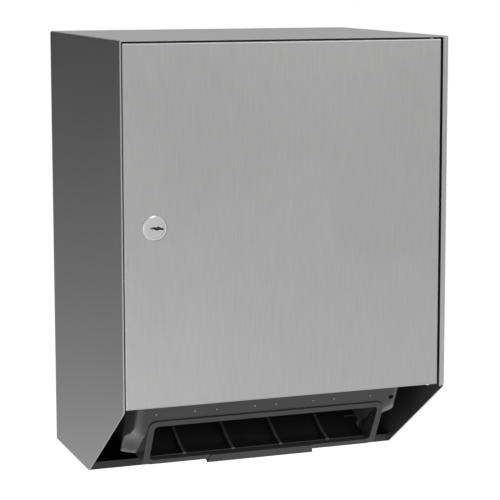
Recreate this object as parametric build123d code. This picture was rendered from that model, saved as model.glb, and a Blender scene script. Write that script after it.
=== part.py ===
from build123d import *
import math
import os

# Wall-mounted roll towel dispenser: folded steel cabinet, lockable door, and a
# towel module whose drum cuts the towel as it is pulled.
# Frame: x to the right, y towards the wall, z up, in millimetres.
# The origin is the centre of the four wall holes, on the wall side of the back.

# Cabinet
WIDTH = 310.0
DEPTH = 247.5
HEIGHT = 408.0
SHEET = 1.2
BEND = 2.0
CUT_RISE = 83.0
CUT_RUN = 122.5
HINGE_STRIP = 5.2
STRIP_RETURN = 9.0
STRIP_CORNER = 4.0
HEM_HEIGHT = 7.0

# Wall holes
WALL_HOLE_X = 280.0
WALL_HOLE_Z = 288.0
WALL_HOLE_RADIUS = 3.5

# Door
DOOR_GAP_LEFT = 0.8
DOOR_GAP_RIGHT = 1.8
DOOR_GAP_TOP = 1.2
DOOR_DROP = 2.0
DOOR_FLANGE = 10.0
DOOR_BEND = 1.5
DOOR_FLANGE_NOTCH = 16.0
PIN_FROM_EDGE = 8.0
PIN_FROM_FACE = 5.0
PIN_RADIUS = 2.0
PIN_HEAD_RADIUS = 3.4
RUN_CLEARANCE = 0.06
HINGE_LEAF = 2.0
LEAF_GAP = 0.8

# Lock
LOCK_FROM_LEFT = 30.0
LOCK_FROM_BOTTOM = 245.0
LOCK_RIM_RADIUS = 11.2
LOCK_RIM_HEIGHT = 1.6
LOCK_BARREL_RADIUS = 9.5
LOCK_BARREL_LENGTH = 17.0
LOCK_PLUG_RADIUS = 8.6
LOCK_NUT_RADIUS = 13.0
LOCK_NUT_THICKNESS = 3.5
KEY_SLOT_LENGTH = 10.0
KEY_SLOT_WIDTH = 1.9
KEY_SLOT_DEPTH = 5.0
CAM_LENGTH = 25.0
CAM_THICKNESS = 2.0
CAM_WIDTH = 12.0
STRIKE_REACH = 11.0
STRIKE_HEIGHT = 46.0
STRIKE_GAP = 0.8

# Towel module: the plane of the front cover runs down and back
COVER_EDGE_Y = 53.0
COVER_EDGE_Z = 55.2
COVER_ANGLE = 61.3
COVER_SPACE = 12.2
COVER_WALL = 2.4
COVER_DEPTH = 27.0
COVER_KNEE = 40.0
COVER_TOP = 146.0
COVER_TOP_DEPTH = 18.0
COVER_CORNER = 5.0
COVER_LOWER = 46.8
SKIRT_BOTTOM = 17.5
SKIRT_CORNER = 9.0
SCOOP_WALL = 2.6
SCOOP_START = 5.0
SCOOP_SLOPE = 0.45
MOUTH_HALF_WIDTH = 110.7
MOUTH_HEIGHT = 41.6
MOUTH_CORNER = 4.5
BEZEL_WIDTH = 5.8
BEZEL_HEIGHT = 1.2
TAB_HALF_WIDTH = 50.0
TAB_DROP = 3.8
TAB_HEIGHT = 12.5
DOT_RADIUS = 0.9
DOT_HEIGHT = 0.5
DOT_PITCH = 58.0
DOT_PAIR = 37.0
DOT_OFFSET = -5.7
DOT_RISE = 14.5
RELEASE_HOLE_X = 122.7
RELEASE_HOLE_RISE = 10.0
RELEASE_HOLE_RADIUS = 2.6

# Cheeks and tray
CHEEK_BESIDE_MOUTH = 1.3
CHEEK_THICKNESS = 3.0
CHEEK_GAP = 1.0
CHEEK_BOTTOM = 20.0
CHEEK_TOP = 172.0
FLANGE_REACH = 12.0
TAB_REACH = 14.0
TRAY_WALL = 2.0
RIB_THICKNESS = 3.2
RIB_HEIGHT = 4.0
RIB_PITCH = 48.0
RIB_OFFSET = -3.0
BEAM_FROM_WALL = 33.5
BEAM_Z = 150.0
BEAM_SIZE = 16.0

# Drum and knife
DRUM_Y = 128.0
DRUM_Z = 106.0
DRUM_RADIUS = 48.5
DRUM_WALL = 3.0
DRUM_END_GAP = 2.0
END_THICKNESS = 3.0
SHAFT_RADIUS = 4.0
BUSH_WALL = 2.5
BUSH_PROUD = 1.0
GRIP_THICKNESS = 1.0
GRIP_COUNT = 4
GRIP_PITCH = 58.0
GRIP_OFFSET = -5.7
GRIP_LENGTH = 32.0
SLOT_ANGLE = 248.0
SLOT_WIDTH = 26.0
KNIFE_PIVOT_RADIUS = 33.0
KNIFE_PIVOT_OFFSET = 9.0
KNIFE_ROD_RADIUS = 2.5
KNIFE_TIP_RADIUS = 46.5
KNIFE_BAR_LOW = 31.0
KNIFE_BAR = 3.5
KNIFE_THICKNESS = 1.0
KNIFE_PITCH = 7.0
KNIFE_TOOTH = 3.0
KNIFE_END_GAP = 1.2
CAM_PLATE = 4.5
CAM_RECESS = 8.0
CAM_GAP = 0.4
CAM_STEPS = 60
CAM_LIFT = 6.6
FOLLOWER_ARM = 12.0
FOLLOWER_RADIUS = 2.5
FOLLOWER_PLATE = 2.2

# Pinch rollers
PINCH_RADIUS = 11.0
PINCH_CORE_RADIUS = 3.0
PINCH_ANGLE = 157.5
PAPER_GAP = 0.4
ROCKER_PIVOT_Y = 60.0
ROCKER_PIVOT_Z = 156.0
ROCKER_ROD_RADIUS = 3.0
ROCKER_ARM = 2.4
LEVER_LENGTH = 32.0
LEVER_THICKNESS = 4.0

# Gears on the right cheek
GEAR_MODULE = 1.5
DRUM_TEETH = 48
FEED_TEETH = 16
DAMPER_TEETH = 12
GEAR_WIDTH = 6.0
GEAR_DISH = 2.5
WHEEL_SQUARE = 9.0
GEAR_GAP = 1.2
BACKLASH = 0.35
PRESSURE_ANGLE = 20.0
FEED_ANGLE = 127.5
DAMPER_ANGLE = -30.0
STUB_RADIUS = 2.5
GEAR_COVER_WALL = 1.6
GEAR_COVER_GAP = 2.0
FEED_WHEEL_RADIUS = 26.0
FEED_WHEEL_WIDTH = 9.0
FEED_WHEEL_NOTCHES = 16
DAMPER_HOUSING_RADIUS = 14.0
DAMPER_HOUSING_LENGTH = 9.0

# Roll holder
ROLL_FROM_WALL = 125.5
ROLL_FROM_TOP = 116.0
ARM_INNER = 108.0
ARM_THICKNESS = 6.0
ARM_HEIGHT = 26.0
ARM_PIN_FROM_WALL = 15.5
ARM_PIN_RADIUS = 2.5
ARM_END_GAP = 0.4
HUB_PIN_RADIUS = 4.0
HUB_FLANGE_RADIUS = 24.0
HUB_FLANGE = 2.0
HUB_RADIUS = 17.5
HUB_LENGTH = 18.0
HUB_TAPER = 3.0
BRACKET_THICKNESS = 2.0
BRACKET_HALF_HEIGHT = 24.0

# Screws
SCREW_RADIUS = 2.0
SCREW_HEAD_RADIUS = 3.8
SCREW_HEAD = 2.2
SCREW_CLEARANCE = 0.1
SCREW_SIDES = 8

# Places worked out from the sizes above
SCOOP_INNER_X = MOUTH_HALF_WIDTH - 0.5
CHEEK_INNER = MOUTH_HALF_WIDTH + CHEEK_BESIDE_MOUTH
CHEEK_OUTER = CHEEK_INNER + CHEEK_THICKNESS
COVER_HALF_WIDTH = CHEEK_OUTER + COVER_SPACE + COVER_WALL
SNOUT_X = MOUTH_HALF_WIDTH + BEZEL_WIDTH
DRUM_HALF_LENGTH = CHEEK_INNER - DRUM_END_GAP
ROLL_Y = DEPTH - ROLL_FROM_WALL
ROLL_Z = HEIGHT - ROLL_FROM_TOP
ARM_PIN_Y = DEPTH - ARM_PIN_FROM_WALL
BEAM_Y = DEPTH - BEAM_FROM_WALL
FRONT = -DEPTH
BOTTOM = -HEIGHT / 2
TOP = HEIGHT / 2
RIGHT = WIDTH / 2
LEFT = -WIDTH / 2
COVER_RUN = math.cos(math.radians(COVER_ANGLE))
COVER_FALL = math.sin(math.radians(COVER_ANGLE))


def place(from_front, from_bottom):
    """A point of the side view, from its distances behind the front and above the bottom."""
    return (from_front + FRONT, from_bottom + BOTTOM)


def cover_point(down, inward):
    """A point of the side view, from its place down and behind the cover's sloping plane."""
    y = COVER_EDGE_Y + down * COVER_RUN + inward * COVER_FALL
    z = COVER_EDGE_Z - down * COVER_FALL + inward * COVER_RUN
    return place(y, z)


def side_plate(points, x_low, x_high):
    """A side-view polygon given a thickness from x_low to x_high."""
    face = make_face(Polyline(*points, close=True))
    return extrude(Plane.YZ.offset(x_low) * face, x_high - x_low)


def side_disc(centre, radius, x_low, x_high):
    """A disc or rod that lies along x."""
    return extrude(Plane.YZ.offset(x_low) * Pos(*centre) * Circle(radius), x_high - x_low)


def block(low, high):
    """A box between two corners."""
    size = [b - a for a, b in zip(low, high)]
    centre = [(a + b) / 2 for a, b in zip(low, high)]
    return Pos(*centre) * Box(*size)


def polar(centre, radius, degrees):
    """A point of the side view at an angle from the wall direction, turning upwards."""
    angle = math.radians(degrees)
    return (centre[0] + radius * math.cos(angle), centre[1] + radius * math.sin(angle))


DRUM_AXIS = place(DRUM_Y, DRUM_Z)
PINCH_AXIS = polar(DRUM_AXIS, DRUM_RADIUS + PAPER_GAP + PINCH_RADIUS, PINCH_ANGLE)
ROCKER_AXIS = place(ROCKER_PIVOT_Y, ROCKER_PIVOT_Z)
FEED_AXIS = polar(DRUM_AXIS, GEAR_MODULE * (DRUM_TEETH + FEED_TEETH) / 2, FEED_ANGLE)
DAMPER_AXIS = polar(DRUM_AXIS, GEAR_MODULE * (DRUM_TEETH + DAMPER_TEETH) / 2, DAMPER_ANGLE)
GEAR_LOW = CHEEK_INNER + CHEEK_THICKNESS + GEAR_GAP
PIN_X = RIGHT - HINGE_STRIP - DOOR_GAP_RIGHT - PIN_FROM_EDGE
PIN_Y = FRONT + PIN_FROM_FACE
DOOR_LEFT = LEFT + SHEET + DOOR_GAP_LEFT
DOOR_RIGHT = RIGHT - HINGE_STRIP - DOOR_GAP_RIGHT
DOOR_TOP = TOP - SHEET - DOOR_GAP_TOP
DOOR_BOTTOM = BOTTOM + CUT_RISE + DOOR_DROP
LOCK_X = LEFT + LOCK_FROM_LEFT
LOCK_Z = BOTTOM + LOCK_FROM_BOTTOM


# Cabinet

def side_outline(inset):
    """The cabinet's side view, with its lower front corner cut away."""
    return [
        (0, BOTTOM + inset),
        (0, TOP - inset),
        (FRONT, TOP - inset),
        (FRONT, BOTTOM + CUT_RISE),
        (FRONT + CUT_RUN, BOTTOM),
    ]


def make_wrap_shell():
    """Left side, top and right side folded from one sheet, with the hinge strip."""
    outer = block((LEFT, FRONT, BOTTOM), (RIGHT, 0, TOP))
    outer = fillet(outer.edges().filter_by(Axis.Y).group_by(Axis.Z)[-1], BEND)
    inner = block((LEFT + SHEET, FRONT - 1, BOTTOM - 1), (RIGHT - SHEET, 1, TOP - SHEET))
    inner = fillet(inner.edges().filter_by(Axis.Y).group_by(Axis.Z)[-1], BEND - SHEET)
    shell = outer - inner
    strip_low = BOTTOM + CUT_RISE
    strip = block((RIGHT - HINGE_STRIP, FRONT, strip_low), (RIGHT, FRONT + SHEET, TOP - SHEET))
    lip = block(
        (RIGHT - HINGE_STRIP, FRONT, strip_low),
        (RIGHT - HINGE_STRIP + SHEET, FRONT + STRIP_RETURN, TOP - SHEET),
    )
    shell += strip + lip
    front_edge = shell.edges().filter_by(Axis.Z).filter_by_position(Axis.X, RIGHT - 0.01, RIGHT + 0.01)
    shell = fillet(front_edge.group_by(Axis.Y)[0], SHEET * 0.9)
    cutter = side_plate(
        [
            (FRONT - 5, BOTTOM - 5),
            (FRONT - 5, BOTTOM + CUT_RISE),
            (FRONT, BOTTOM + CUT_RISE),
            (FRONT + CUT_RUN, BOTTOM),
            (FRONT + CUT_RUN, BOTTOM - 5),
        ],
        LEFT - 5,
        RIGHT + 5,
    )
    shell -= cutter
    corner = Plane.XZ.offset(-FRONT) * Pos(RIGHT - STRIP_CORNER, strip_low + STRIP_CORNER) * (
        Pos(STRIP_CORNER / 2 + 1, -STRIP_CORNER / 2 - 1) * Rectangle(STRIP_CORNER + 2, STRIP_CORNER + 2)
        - Circle(STRIP_CORNER)
    )
    return shell - extrude(corner, SHEET + 0.5, both=True)


def make_back_panel():
    """Back and floor folded from one sheet, with four wall holes and a front hem."""
    inner_left, inner_right = LEFT + SHEET, RIGHT - SHEET
    back = block((inner_left, -SHEET, BOTTOM), (inner_right, 0, TOP - SHEET))
    back = fillet(back.edges().filter_by(Axis.Y).group_by(Axis.Z)[-1], BEND)
    floor = block((inner_left, FRONT + CUT_RUN, BOTTOM), (inner_right, 0, BOTTOM + SHEET))
    hem = block(
        (inner_left, FRONT + CUT_RUN, BOTTOM),
        (inner_right, FRONT + CUT_RUN + SHEET, BOTTOM + HEM_HEIGHT),
    )
    panel = back + floor + hem
    panel = fillet(
        panel.edges().filter_by(Axis.X).filter_by_position(Axis.Y, -0.01, 0.01).group_by(Axis.Z)[0],
        BEND,
    )
    for x in (-WALL_HOLE_X / 2, WALL_HOLE_X / 2):
        for z in (-WALL_HOLE_Z / 2, WALL_HOLE_Z / 2):
            hole = Plane.XZ * Pos(x, z) * Circle(WALL_HOLE_RADIUS)
            panel -= extrude(hole, 10, both=True)
    for side in (-1, 1):
        for point in flange_screw_points(side) + bracket_screw_points(side):
            panel -= screw_hole(8, point, (0, 1, 0))
    return panel


# Door

def make_door():
    """Door pan: a face with four folded flanges, a lock hole and two pin holes."""
    back = FRONT + DOOR_FLANGE
    outer = block((DOOR_LEFT, FRONT, DOOR_BOTTOM), (DOOR_RIGHT, back, DOOR_TOP))
    outer = fillet(outer.edges().group_by(Axis.Y)[0], DOOR_BEND)
    inner = block(
        (DOOR_LEFT + SHEET, FRONT + SHEET, DOOR_BOTTOM + SHEET),
        (DOOR_RIGHT - SHEET, back + 1, DOOR_TOP - SHEET),
    )
    pan = outer - inner
    notch_x = DOOR_RIGHT - PIN_FROM_EDGE + PIN_HEAD_RADIUS + 1
    for low, high in (
        (DOOR_BOTTOM + SHEET, DOOR_BOTTOM + DOOR_FLANGE_NOTCH),
        (DOOR_TOP - DOOR_FLANGE_NOTCH, DOOR_TOP - SHEET),
    ):
        pan -= block((notch_x, FRONT + DOOR_BEND + 0.2, low), (DOOR_RIGHT + 1, back + 1, high))
    pin_hole = Pos(PIN_X, PIN_Y, 0) * Cylinder(PIN_RADIUS + RUN_CLEARANCE, HEIGHT)
    pan -= pin_hole
    lock_hole = Plane.XZ.offset(-FRONT) * Pos(LOCK_X, LOCK_Z) * Circle(LOCK_BARREL_RADIUS + RUN_CLEARANCE)
    return pan - extrude(lock_hole, 3, both=True)


def hinge_leaf_outline():
    """A swan-neck leaf that reaches the pin from behind, clear of the door's edge."""
    reach = math.hypot(PIN_FROM_EDGE, PIN_FROM_FACE) + 1.0
    wall = RIGHT - SHEET
    rear = PIN_Y + reach
    neck = PIN_HEAD_RADIUS + 1.2
    return [
        (PIN_X - neck, PIN_Y - PIN_HEAD_RADIUS),
        (PIN_X + 0.6, PIN_Y - PIN_HEAD_RADIUS),
        (PIN_X + PIN_HEAD_RADIUS - 1.0, PIN_Y - 2.0),
        (PIN_X + PIN_HEAD_RADIUS - 1.0, PIN_Y + 2.0),
        (PIN_X - 1.5, rear - 1.0),
        (PIN_X - 1.5, rear),
        (wall, rear),
        (wall, rear + 16),
        (PIN_X - neck - 3, rear + 16),
        (PIN_X - neck - 3, rear),
    ]


def make_hinge_bracket(upper):
    """One hinge bracket: the leaf that carries the pin and its foot on the right wall."""
    low, high = hinge_leaf_heights(upper)
    face = make_face(Polyline(*hinge_leaf_outline(), close=True))
    leaf = extrude(Pos(0, 0, low) * face, high - low)
    rear = PIN_Y + math.hypot(PIN_FROM_EDGE, PIN_FROM_FACE) + 1.0
    foot_low = low - 16 if upper else low
    foot_high = high if upper else high + 16
    foot = block((RIGHT - SHEET - HINGE_LEAF, rear, foot_low), (RIGHT - SHEET, rear + 16, foot_high))
    hole = Pos(PIN_X, PIN_Y, (low + high) / 2) * Cylinder(PIN_RADIUS, HINGE_LEAF * 3)
    return leaf + foot - hole


def hinge_leaf_heights(upper):
    """Bottom and top of a hinge leaf, just inside the door's top or bottom flange."""
    if upper:
        high = DOOR_TOP - SHEET - LEAF_GAP
        return high - HINGE_LEAF, high
    low = DOOR_BOTTOM + SHEET + LEAF_GAP
    return low, low + HINGE_LEAF


def make_hinge_pin(upper):
    """A headed pin through the leaf and the door's flange."""
    low, high = hinge_leaf_heights(upper)
    head = 1.4
    if upper:
        shank = (low, DOOR_TOP + DOOR_GAP_TOP * 0.4)
        cap = (low - head, low)
    else:
        shank = (DOOR_BOTTOM - 1.0, high)
        cap = (high, high + head)
    pin = Pos(PIN_X, PIN_Y, sum(shank) / 2) * Cylinder(PIN_RADIUS, shank[1] - shank[0])
    return pin + Pos(PIN_X, PIN_Y, sum(cap) / 2) * Cylinder(PIN_HEAD_RADIUS, head)


# Lock

def lock_disc(radius, front, rear):
    """A disc about the lock's axis, between two distances behind the cabinet's front."""
    disc = Rot(90, 0, 0) * Cylinder(radius, rear - front)
    return Pos(LOCK_X, FRONT + (front + rear) / 2, LOCK_Z) * disc


def make_lock_body():
    """Lock housing: bevelled rim and a barrel through the door, bored for the plug."""
    rim = lock_disc(LOCK_RIM_RADIUS, -LOCK_RIM_HEIGHT, 0)
    rim = chamfer(rim.edges().filter_by(GeomType.CIRCLE).group_by(Axis.Y)[0], LOCK_RIM_HEIGHT * 0.6)
    barrel = lock_disc(LOCK_BARREL_RADIUS, 0, LOCK_BARREL_LENGTH)
    bore = lock_disc(LOCK_PLUG_RADIUS + RUN_CLEARANCE, -LOCK_RIM_HEIGHT - 1, LOCK_BARREL_LENGTH + 1)
    return rim + barrel - bore


def make_lock_nut():
    """Hexagon nut that clamps the housing to the door from behind."""
    front = FRONT + SHEET
    hexagon = Plane.XZ.offset(-front) * Pos(LOCK_X, LOCK_Z) * RegularPolygon(LOCK_NUT_RADIUS, 6)
    bore = Plane.XZ.offset(-front) * Pos(LOCK_X, LOCK_Z) * Circle(LOCK_BARREL_RADIUS)
    return extrude(hexagon - bore, -LOCK_NUT_THICKNESS)


def make_lock_plug():
    """The turning plug with its keyway, and the stem that carries the cam."""
    face_depth = -LOCK_RIM_HEIGHT + 0.3
    plug = lock_disc(LOCK_PLUG_RADIUS, face_depth, LOCK_BARREL_LENGTH + 0.2)
    stem = LOCK_BARREL_LENGTH + CAM_THICKNESS + 3
    square = Pos(LOCK_X, FRONT + (LOCK_BARREL_LENGTH + stem) / 2, LOCK_Z) * Box(
        5.6, stem - LOCK_BARREL_LENGTH, 5.6
    )
    plug += square
    half = KEY_SLOT_LENGTH / 2
    slot = Pos(LOCK_X, FRONT + face_depth, LOCK_Z) * Box(
        KEY_SLOT_LENGTH, 2 * KEY_SLOT_DEPTH, KEY_SLOT_WIDTH * 0.62
    )
    ward = Pos(LOCK_X - half * 0.3, FRONT + face_depth, LOCK_Z + KEY_SLOT_WIDTH * 0.32) * Box(
        half, 2 * KEY_SLOT_DEPTH, KEY_SLOT_WIDTH * 0.7
    )
    return plug - slot - ward


def cam_depths():
    """Front and rear of the cam, behind the cabinet's front."""
    front = LOCK_BARREL_LENGTH + 0.4
    return front, front + CAM_THICKNESS


def make_lock_cam():
    """Latch arm, pointing up when unlocked, that turns behind the strike."""
    front, rear = cam_depths()
    outline = Plane.XZ.offset(-(FRONT + front)) * Pos(LOCK_X, LOCK_Z) * (
        Circle(CAM_WIDTH / 2)
        + Pos(0, (CAM_LENGTH - 4) / 2) * Rectangle(CAM_WIDTH, CAM_LENGTH - 4)
        + Pos(0, CAM_LENGTH - 4 - 1) * Rectangle(CAM_WIDTH - 3, 10)
    )
    cam = extrude(outline, front - rear)
    return cam - Pos(LOCK_X, FRONT + front, LOCK_Z) * Box(5.7, 20, 5.7)


def make_cam_nut():
    """Nut that holds the cam on the plug's stem."""
    rear = cam_depths()[1]
    hexagon = Plane.XZ.offset(-(FRONT + rear)) * Pos(LOCK_X, LOCK_Z) * RegularPolygon(5.5, 6)
    nut = extrude(hexagon, -2.6)
    return nut - Pos(LOCK_X, FRONT + rear, LOCK_Z) * Box(5.6, 20, 5.6)


def make_lock_strike():
    """Angle on the left wall: the cam turns behind its front leaf."""
    rear = FRONT + cam_depths()[0] - STRIKE_GAP
    wall = LEFT + SHEET
    z_low, z_high = LOCK_Z - STRIKE_HEIGHT / 2, LOCK_Z + STRIKE_HEIGHT / 2
    leaf = block((wall, rear - SHEET, z_low), (wall + STRIKE_REACH, rear, z_high))
    foot = block((wall, rear - SHEET, z_low), (wall + SHEET, rear + 14, z_high))
    strike = leaf + foot
    inner = strike.edges().filter_by(Axis.Z).filter_by_position(Axis.X, wall - 0.1, wall + 0.1)
    return fillet(inner.group_by(Axis.Y)[0], SHEET * 0.8)


# Front cover of the towel module

def cover_solid(half_width, inset, corner):
    """The cover's envelope, drawn in from its outer faces by inset."""
    front_top = cover_point(-COVER_KNEE, inset)
    top_z = COVER_TOP + BOTTOM - inset
    top_rear = (cover_point(-COVER_KNEE, 0)[0] + COVER_TOP_DEPTH, top_z)
    skirt_rear = cover_point(-COVER_KNEE, COVER_DEPTH)
    skirt_z = SKIRT_BOTTOM + BOTTOM
    drop = (skirt_rear[1] - skirt_z) / COVER_FALL
    skirt_low = (skirt_rear[0] + drop * COVER_RUN, skirt_z)
    lip_down = COVER_LOWER + inset
    outline = [
        (front_top[0], top_z),
        front_top,
        cover_point(lip_down, inset),
        cover_point(lip_down, inset + 6.0),
        (skirt_low[0] - SKIRT_CORNER, skirt_z),
        (skirt_low[0] - SKIRT_CORNER * 0.3, skirt_z + SKIRT_CORNER * 0.35),
        (skirt_low[0] - SKIRT_CORNER * 0.4, skirt_z + SKIRT_CORNER),
        skirt_rear,
        top_rear,
    ]
    body = side_plate(outline, -half_width, half_width)
    middle = cover_point((COVER_LOWER + inset - COVER_KNEE) / 2, inset)
    upright = (front_top[0], (front_top[1] + top_z) / 2)
    front_edges = [
        edge
        for edge in body.edges()
        if abs(abs(edge.center().X) - half_width) < 0.01
        and min(math.dist((edge.center().Y, edge.center().Z), point) for point in (middle, upright)) < 0.5
    ]
    return fillet(front_edges, corner)


def scoop_depth(down):
    """How far the face has fallen back, beside the mouth and at the cover's flank."""
    past = down - SCOOP_START
    beside = SCOOP_SLOPE * (past + math.hypot(past, 3.0)) / 2 - 0.05
    rise = 0.0028 * max(down + 12.0, 0.0) ** 2.45
    limit = COVER_DEPTH - 1.7
    return beside, rise / (1 + (rise / limit) ** 4) ** 0.25


def scoop_cutter(inner_x, extra):
    """What is taken off one lower corner, so that the mouth stands out as a snout."""
    faces = []
    outer_x = COVER_HALF_WIDTH + 4.0
    reach = (outer_x - SNOUT_X) / (COVER_HALF_WIDTH - SNOUT_X)
    for down in (-14.0, -6.0, 2.0, 9.0, 16.0, 23.0, 31.0, 40.0, 50.0, 62.0):
        beside, flank = scoop_depth(down)
        end = beside + reach * (flank - beside) + extra
        points = [(inner_x, -6.0), (inner_x, beside + extra), (outer_x, end), (outer_x, -6.0)]
        y, z = cover_point(down, 0)
        plane = Plane(origin=(0, y, z), x_dir=(1, 0, 0), z_dir=(0, -COVER_RUN, COVER_FALL))
        faces.append(plane * make_face(Polyline(*points, close=True)))
    return loft(faces)


def behind_scoop(down):
    """Depth of the cover's inner face at the cheek's outer side."""
    beside, flank = scoop_depth(down)
    share = (CHEEK_OUTER - SCOOP_INNER_X) / (COVER_HALF_WIDTH - SCOOP_INNER_X)
    return beside + 1.1 * share * (flank - beside) + SCOOP_WALL


def cover_frame(down, inward=0.0):
    """A plane on the cover's face: local x runs to the right, y up the slope, z points out."""
    y, z = cover_point(down, inward)
    return Plane(origin=(0, y, z), x_dir=(1, 0, 0), z_dir=(0, -COVER_FALL, -COVER_RUN))


def make_front_cover():
    """Smoked cover: a rounded tray with the towel mouth, its bezel, lip and tab."""
    body = cover_solid(COVER_HALF_WIDTH, 0, COVER_CORNER)
    hollow = cover_solid(COVER_HALF_WIDTH - COVER_WALL, COVER_WALL, COVER_CORNER - COVER_WALL)
    hollow += hollow.translate((0, COVER_DEPTH * 0.6, 0))
    outside = scoop_cutter(SNOUT_X, 0)
    inside = scoop_cutter(SCOOP_INNER_X, SCOOP_WALL)
    body -= outside + mirror(outside, Plane.YZ)
    hollow -= inside + mirror(inside, Plane.YZ)
    shell = body - hollow
    centre = MOUTH_HEIGHT / 2
    face = cover_frame(centre)
    ring_height = COVER_LOWER + BEZEL_WIDTH
    outer = RectangleRounded(2 * SNOUT_X, ring_height, MOUTH_CORNER + BEZEL_WIDTH - 2)
    outer = Pos(0, (BEZEL_WIDTH - COVER_LOWER + MOUTH_HEIGHT) / 2) * outer
    ring = extrude(face * outer, BEZEL_HEIGHT)
    ring += extrude(face * outer, -COVER_WALL)
    tab_low = -(COVER_LOWER + TAB_DROP - centre)
    tab = Pos(0, tab_low + TAB_HEIGHT / 2) * Trapezoid(2 * TAB_HALF_WIDTH + 6, TAB_HEIGHT, 105, 105, rotation=180)
    ring += extrude(face * tab, BEZEL_HEIGHT + 0.8) + extrude(face * tab, -COVER_WALL)
    shell += ring
    mouth = RectangleRounded(2 * MOUTH_HALF_WIDTH, MOUTH_HEIGHT, MOUTH_CORNER)
    shell -= extrude(face * mouth, 20, both=True)
    for pair in range(4):
        for step in (-0.5, 0.5):
            x = DOT_OFFSET + (pair - 1.5) * DOT_PITCH + step * DOT_PAIR
            dot = cover_frame(-DOT_RISE) * Pos(x, 0) * RegularPolygon(DOT_RADIUS, 8)
            shell += extrude(dot, DOT_HEIGHT)
    hole = cover_frame(-RELEASE_HOLE_RISE) * Pos(RELEASE_HOLE_X, 0) * Circle(RELEASE_HOLE_RADIUS)
    shell -= extrude(hole, 8, both=True)
    for side in (-1, 1):
        shell -= screw_hole(5, cover_screw_point(side), (0, 1, 0))
    return shell


# Screws

def screw(shank, point, direction):
    """A hexagon-head screw: point is the seat under the head, direction the way it drives."""
    head = extrude(RegularPolygon(SCREW_HEAD_RADIUS, 6), -SCREW_HEAD)
    body = extrude(RegularPolygon(SCREW_RADIUS, SCREW_SIDES), shank)
    return Plane(origin=point, z_dir=direction) * (head + body)


def screw_hole(depth, point, direction):
    """The clearance hole for a screw, of as many sides as the screw's plain shank."""
    hole = extrude(RegularPolygon(SCREW_RADIUS + SCREW_CLEARANCE, SCREW_SIDES), depth, both=True)
    return Plane(origin=point, z_dir=direction) * hole


# Cheeks

def cheek_outline():
    """Side view of a cheek: follows the inside of the front cover and meets the back."""
    inner = COVER_WALL + CHEEK_GAP
    knee = cover_point(-COVER_KNEE, inner)
    top_rear = cover_point(-COVER_KNEE, 0)[0] + COVER_TOP_DEPTH + CHEEK_GAP
    return [
        place(DEPTH - SHEET, 30),
        place(DEPTH - SHEET, 150),
        place(DEPTH - 25, 166),
        place(140, CHEEK_TOP),
        place(66, CHEEK_TOP),
        (top_rear, BOTTOM + 164),
        (top_rear, BOTTOM + COVER_TOP - COVER_WALL - CHEEK_GAP),
        (knee[0], BOTTOM + COVER_TOP - COVER_WALL - CHEEK_GAP),
        knee,
        cover_point(4, inner + 0.4),
        *[cover_point(down, behind_scoop(down) + CHEEK_GAP + 0.6) for down in (12, 20, 28, 36)],
        cover_point(COVER_KNEE, behind_scoop(COVER_KNEE) + 6.0),
        place(102, CHEEK_BOTTOM),
        place(DEPTH - 15, CHEEK_BOTTOM),
    ]


def flange_screw_points(side):
    """Seats of the screws that hold one cheek to the back."""
    x = side * (CHEEK_OUTER + FLANGE_REACH / 2 + 1.0)
    return [(x, -SHEET - CHEEK_THICKNESS, BOTTOM + z) for z in (48.0, 132.0)]


def cover_screw_point(side):
    """Seat of the screw that holds the cover to one cheek."""
    y = cover_point(-COVER_KNEE, 0)[0]
    return (side * (CHEEK_INNER - TAB_REACH / 2), y, BOTTOM + 130.0)


def tray_screw_points(side):
    """Seats of the screws that hold the tray to one cheek."""
    return [(side * CHEEK_OUTER, *place(y, z)) for y, z in ((114.0, 29.4), (170.0, 45.6))]


def make_cheek(side):
    """A cheek plate with its rear flange, its cover tab and its bearing holes."""
    low, high = sorted((side * CHEEK_INNER, side * CHEEK_OUTER))
    plate = side_plate(cheek_outline(), low, high)
    window = Pos(0, *place(206, 95)) * Box(2 * WIDTH, 34, 70)
    window = chamfer(window.edges().filter_by(Axis.X), 8)
    plate -= window
    reach = sorted((side * CHEEK_OUTER, side * (CHEEK_OUTER + FLANGE_REACH)))
    plate += block(
        (reach[0], -SHEET - CHEEK_THICKNESS, BOTTOM + 30), (reach[1], -SHEET, BOTTOM + 150)
    )
    front = cover_point(-COVER_KNEE, COVER_WALL)[0]
    tab = sorted((side * (CHEEK_INNER - TAB_REACH), side * CHEEK_OUTER))
    plate += block((tab[0], front, BOTTOM + 120), (tab[1], front + CHEEK_THICKNESS, BOTTOM + 140))
    plate -= side_disc(DRUM_AXIS, SHAFT_RADIUS + BUSH_WALL, low - 1, high + 1)
    plate -= side_disc(ROCKER_AXIS, ROCKER_ROD_RADIUS + RUN_CLEARANCE, low - 1, high + 1)
    for point in flange_screw_points(side):
        plate -= screw_hole(10, point, (0, 1, 0))
    plate -= screw_hole(10, cover_screw_point(side), (0, 1, 0))
    for point in tray_screw_points(side):
        plate -= screw_hole(10, point, (-side, 0, 0))
    for point in beam_screw_points(side):
        plate -= screw_hole(6, point, (-side, 0, 0))
    if side < 0:
        for point in cam_screw_points():
            plate -= screw_hole(6, point, (1, 0, 0))
    else:
        for axis in (FEED_AXIS, DAMPER_AXIS):
            plate -= side_disc(axis, STUB_RADIUS, low - 1, high + 1)
    return plate


def beam_screw_points(side):
    """Seats of the screws that hold the rear beam between the cheeks."""
    return [(side * CHEEK_OUTER, *place(BEAM_Y + dy, BEAM_Z)) for dy in (-4.0, 4.0)]


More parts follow.
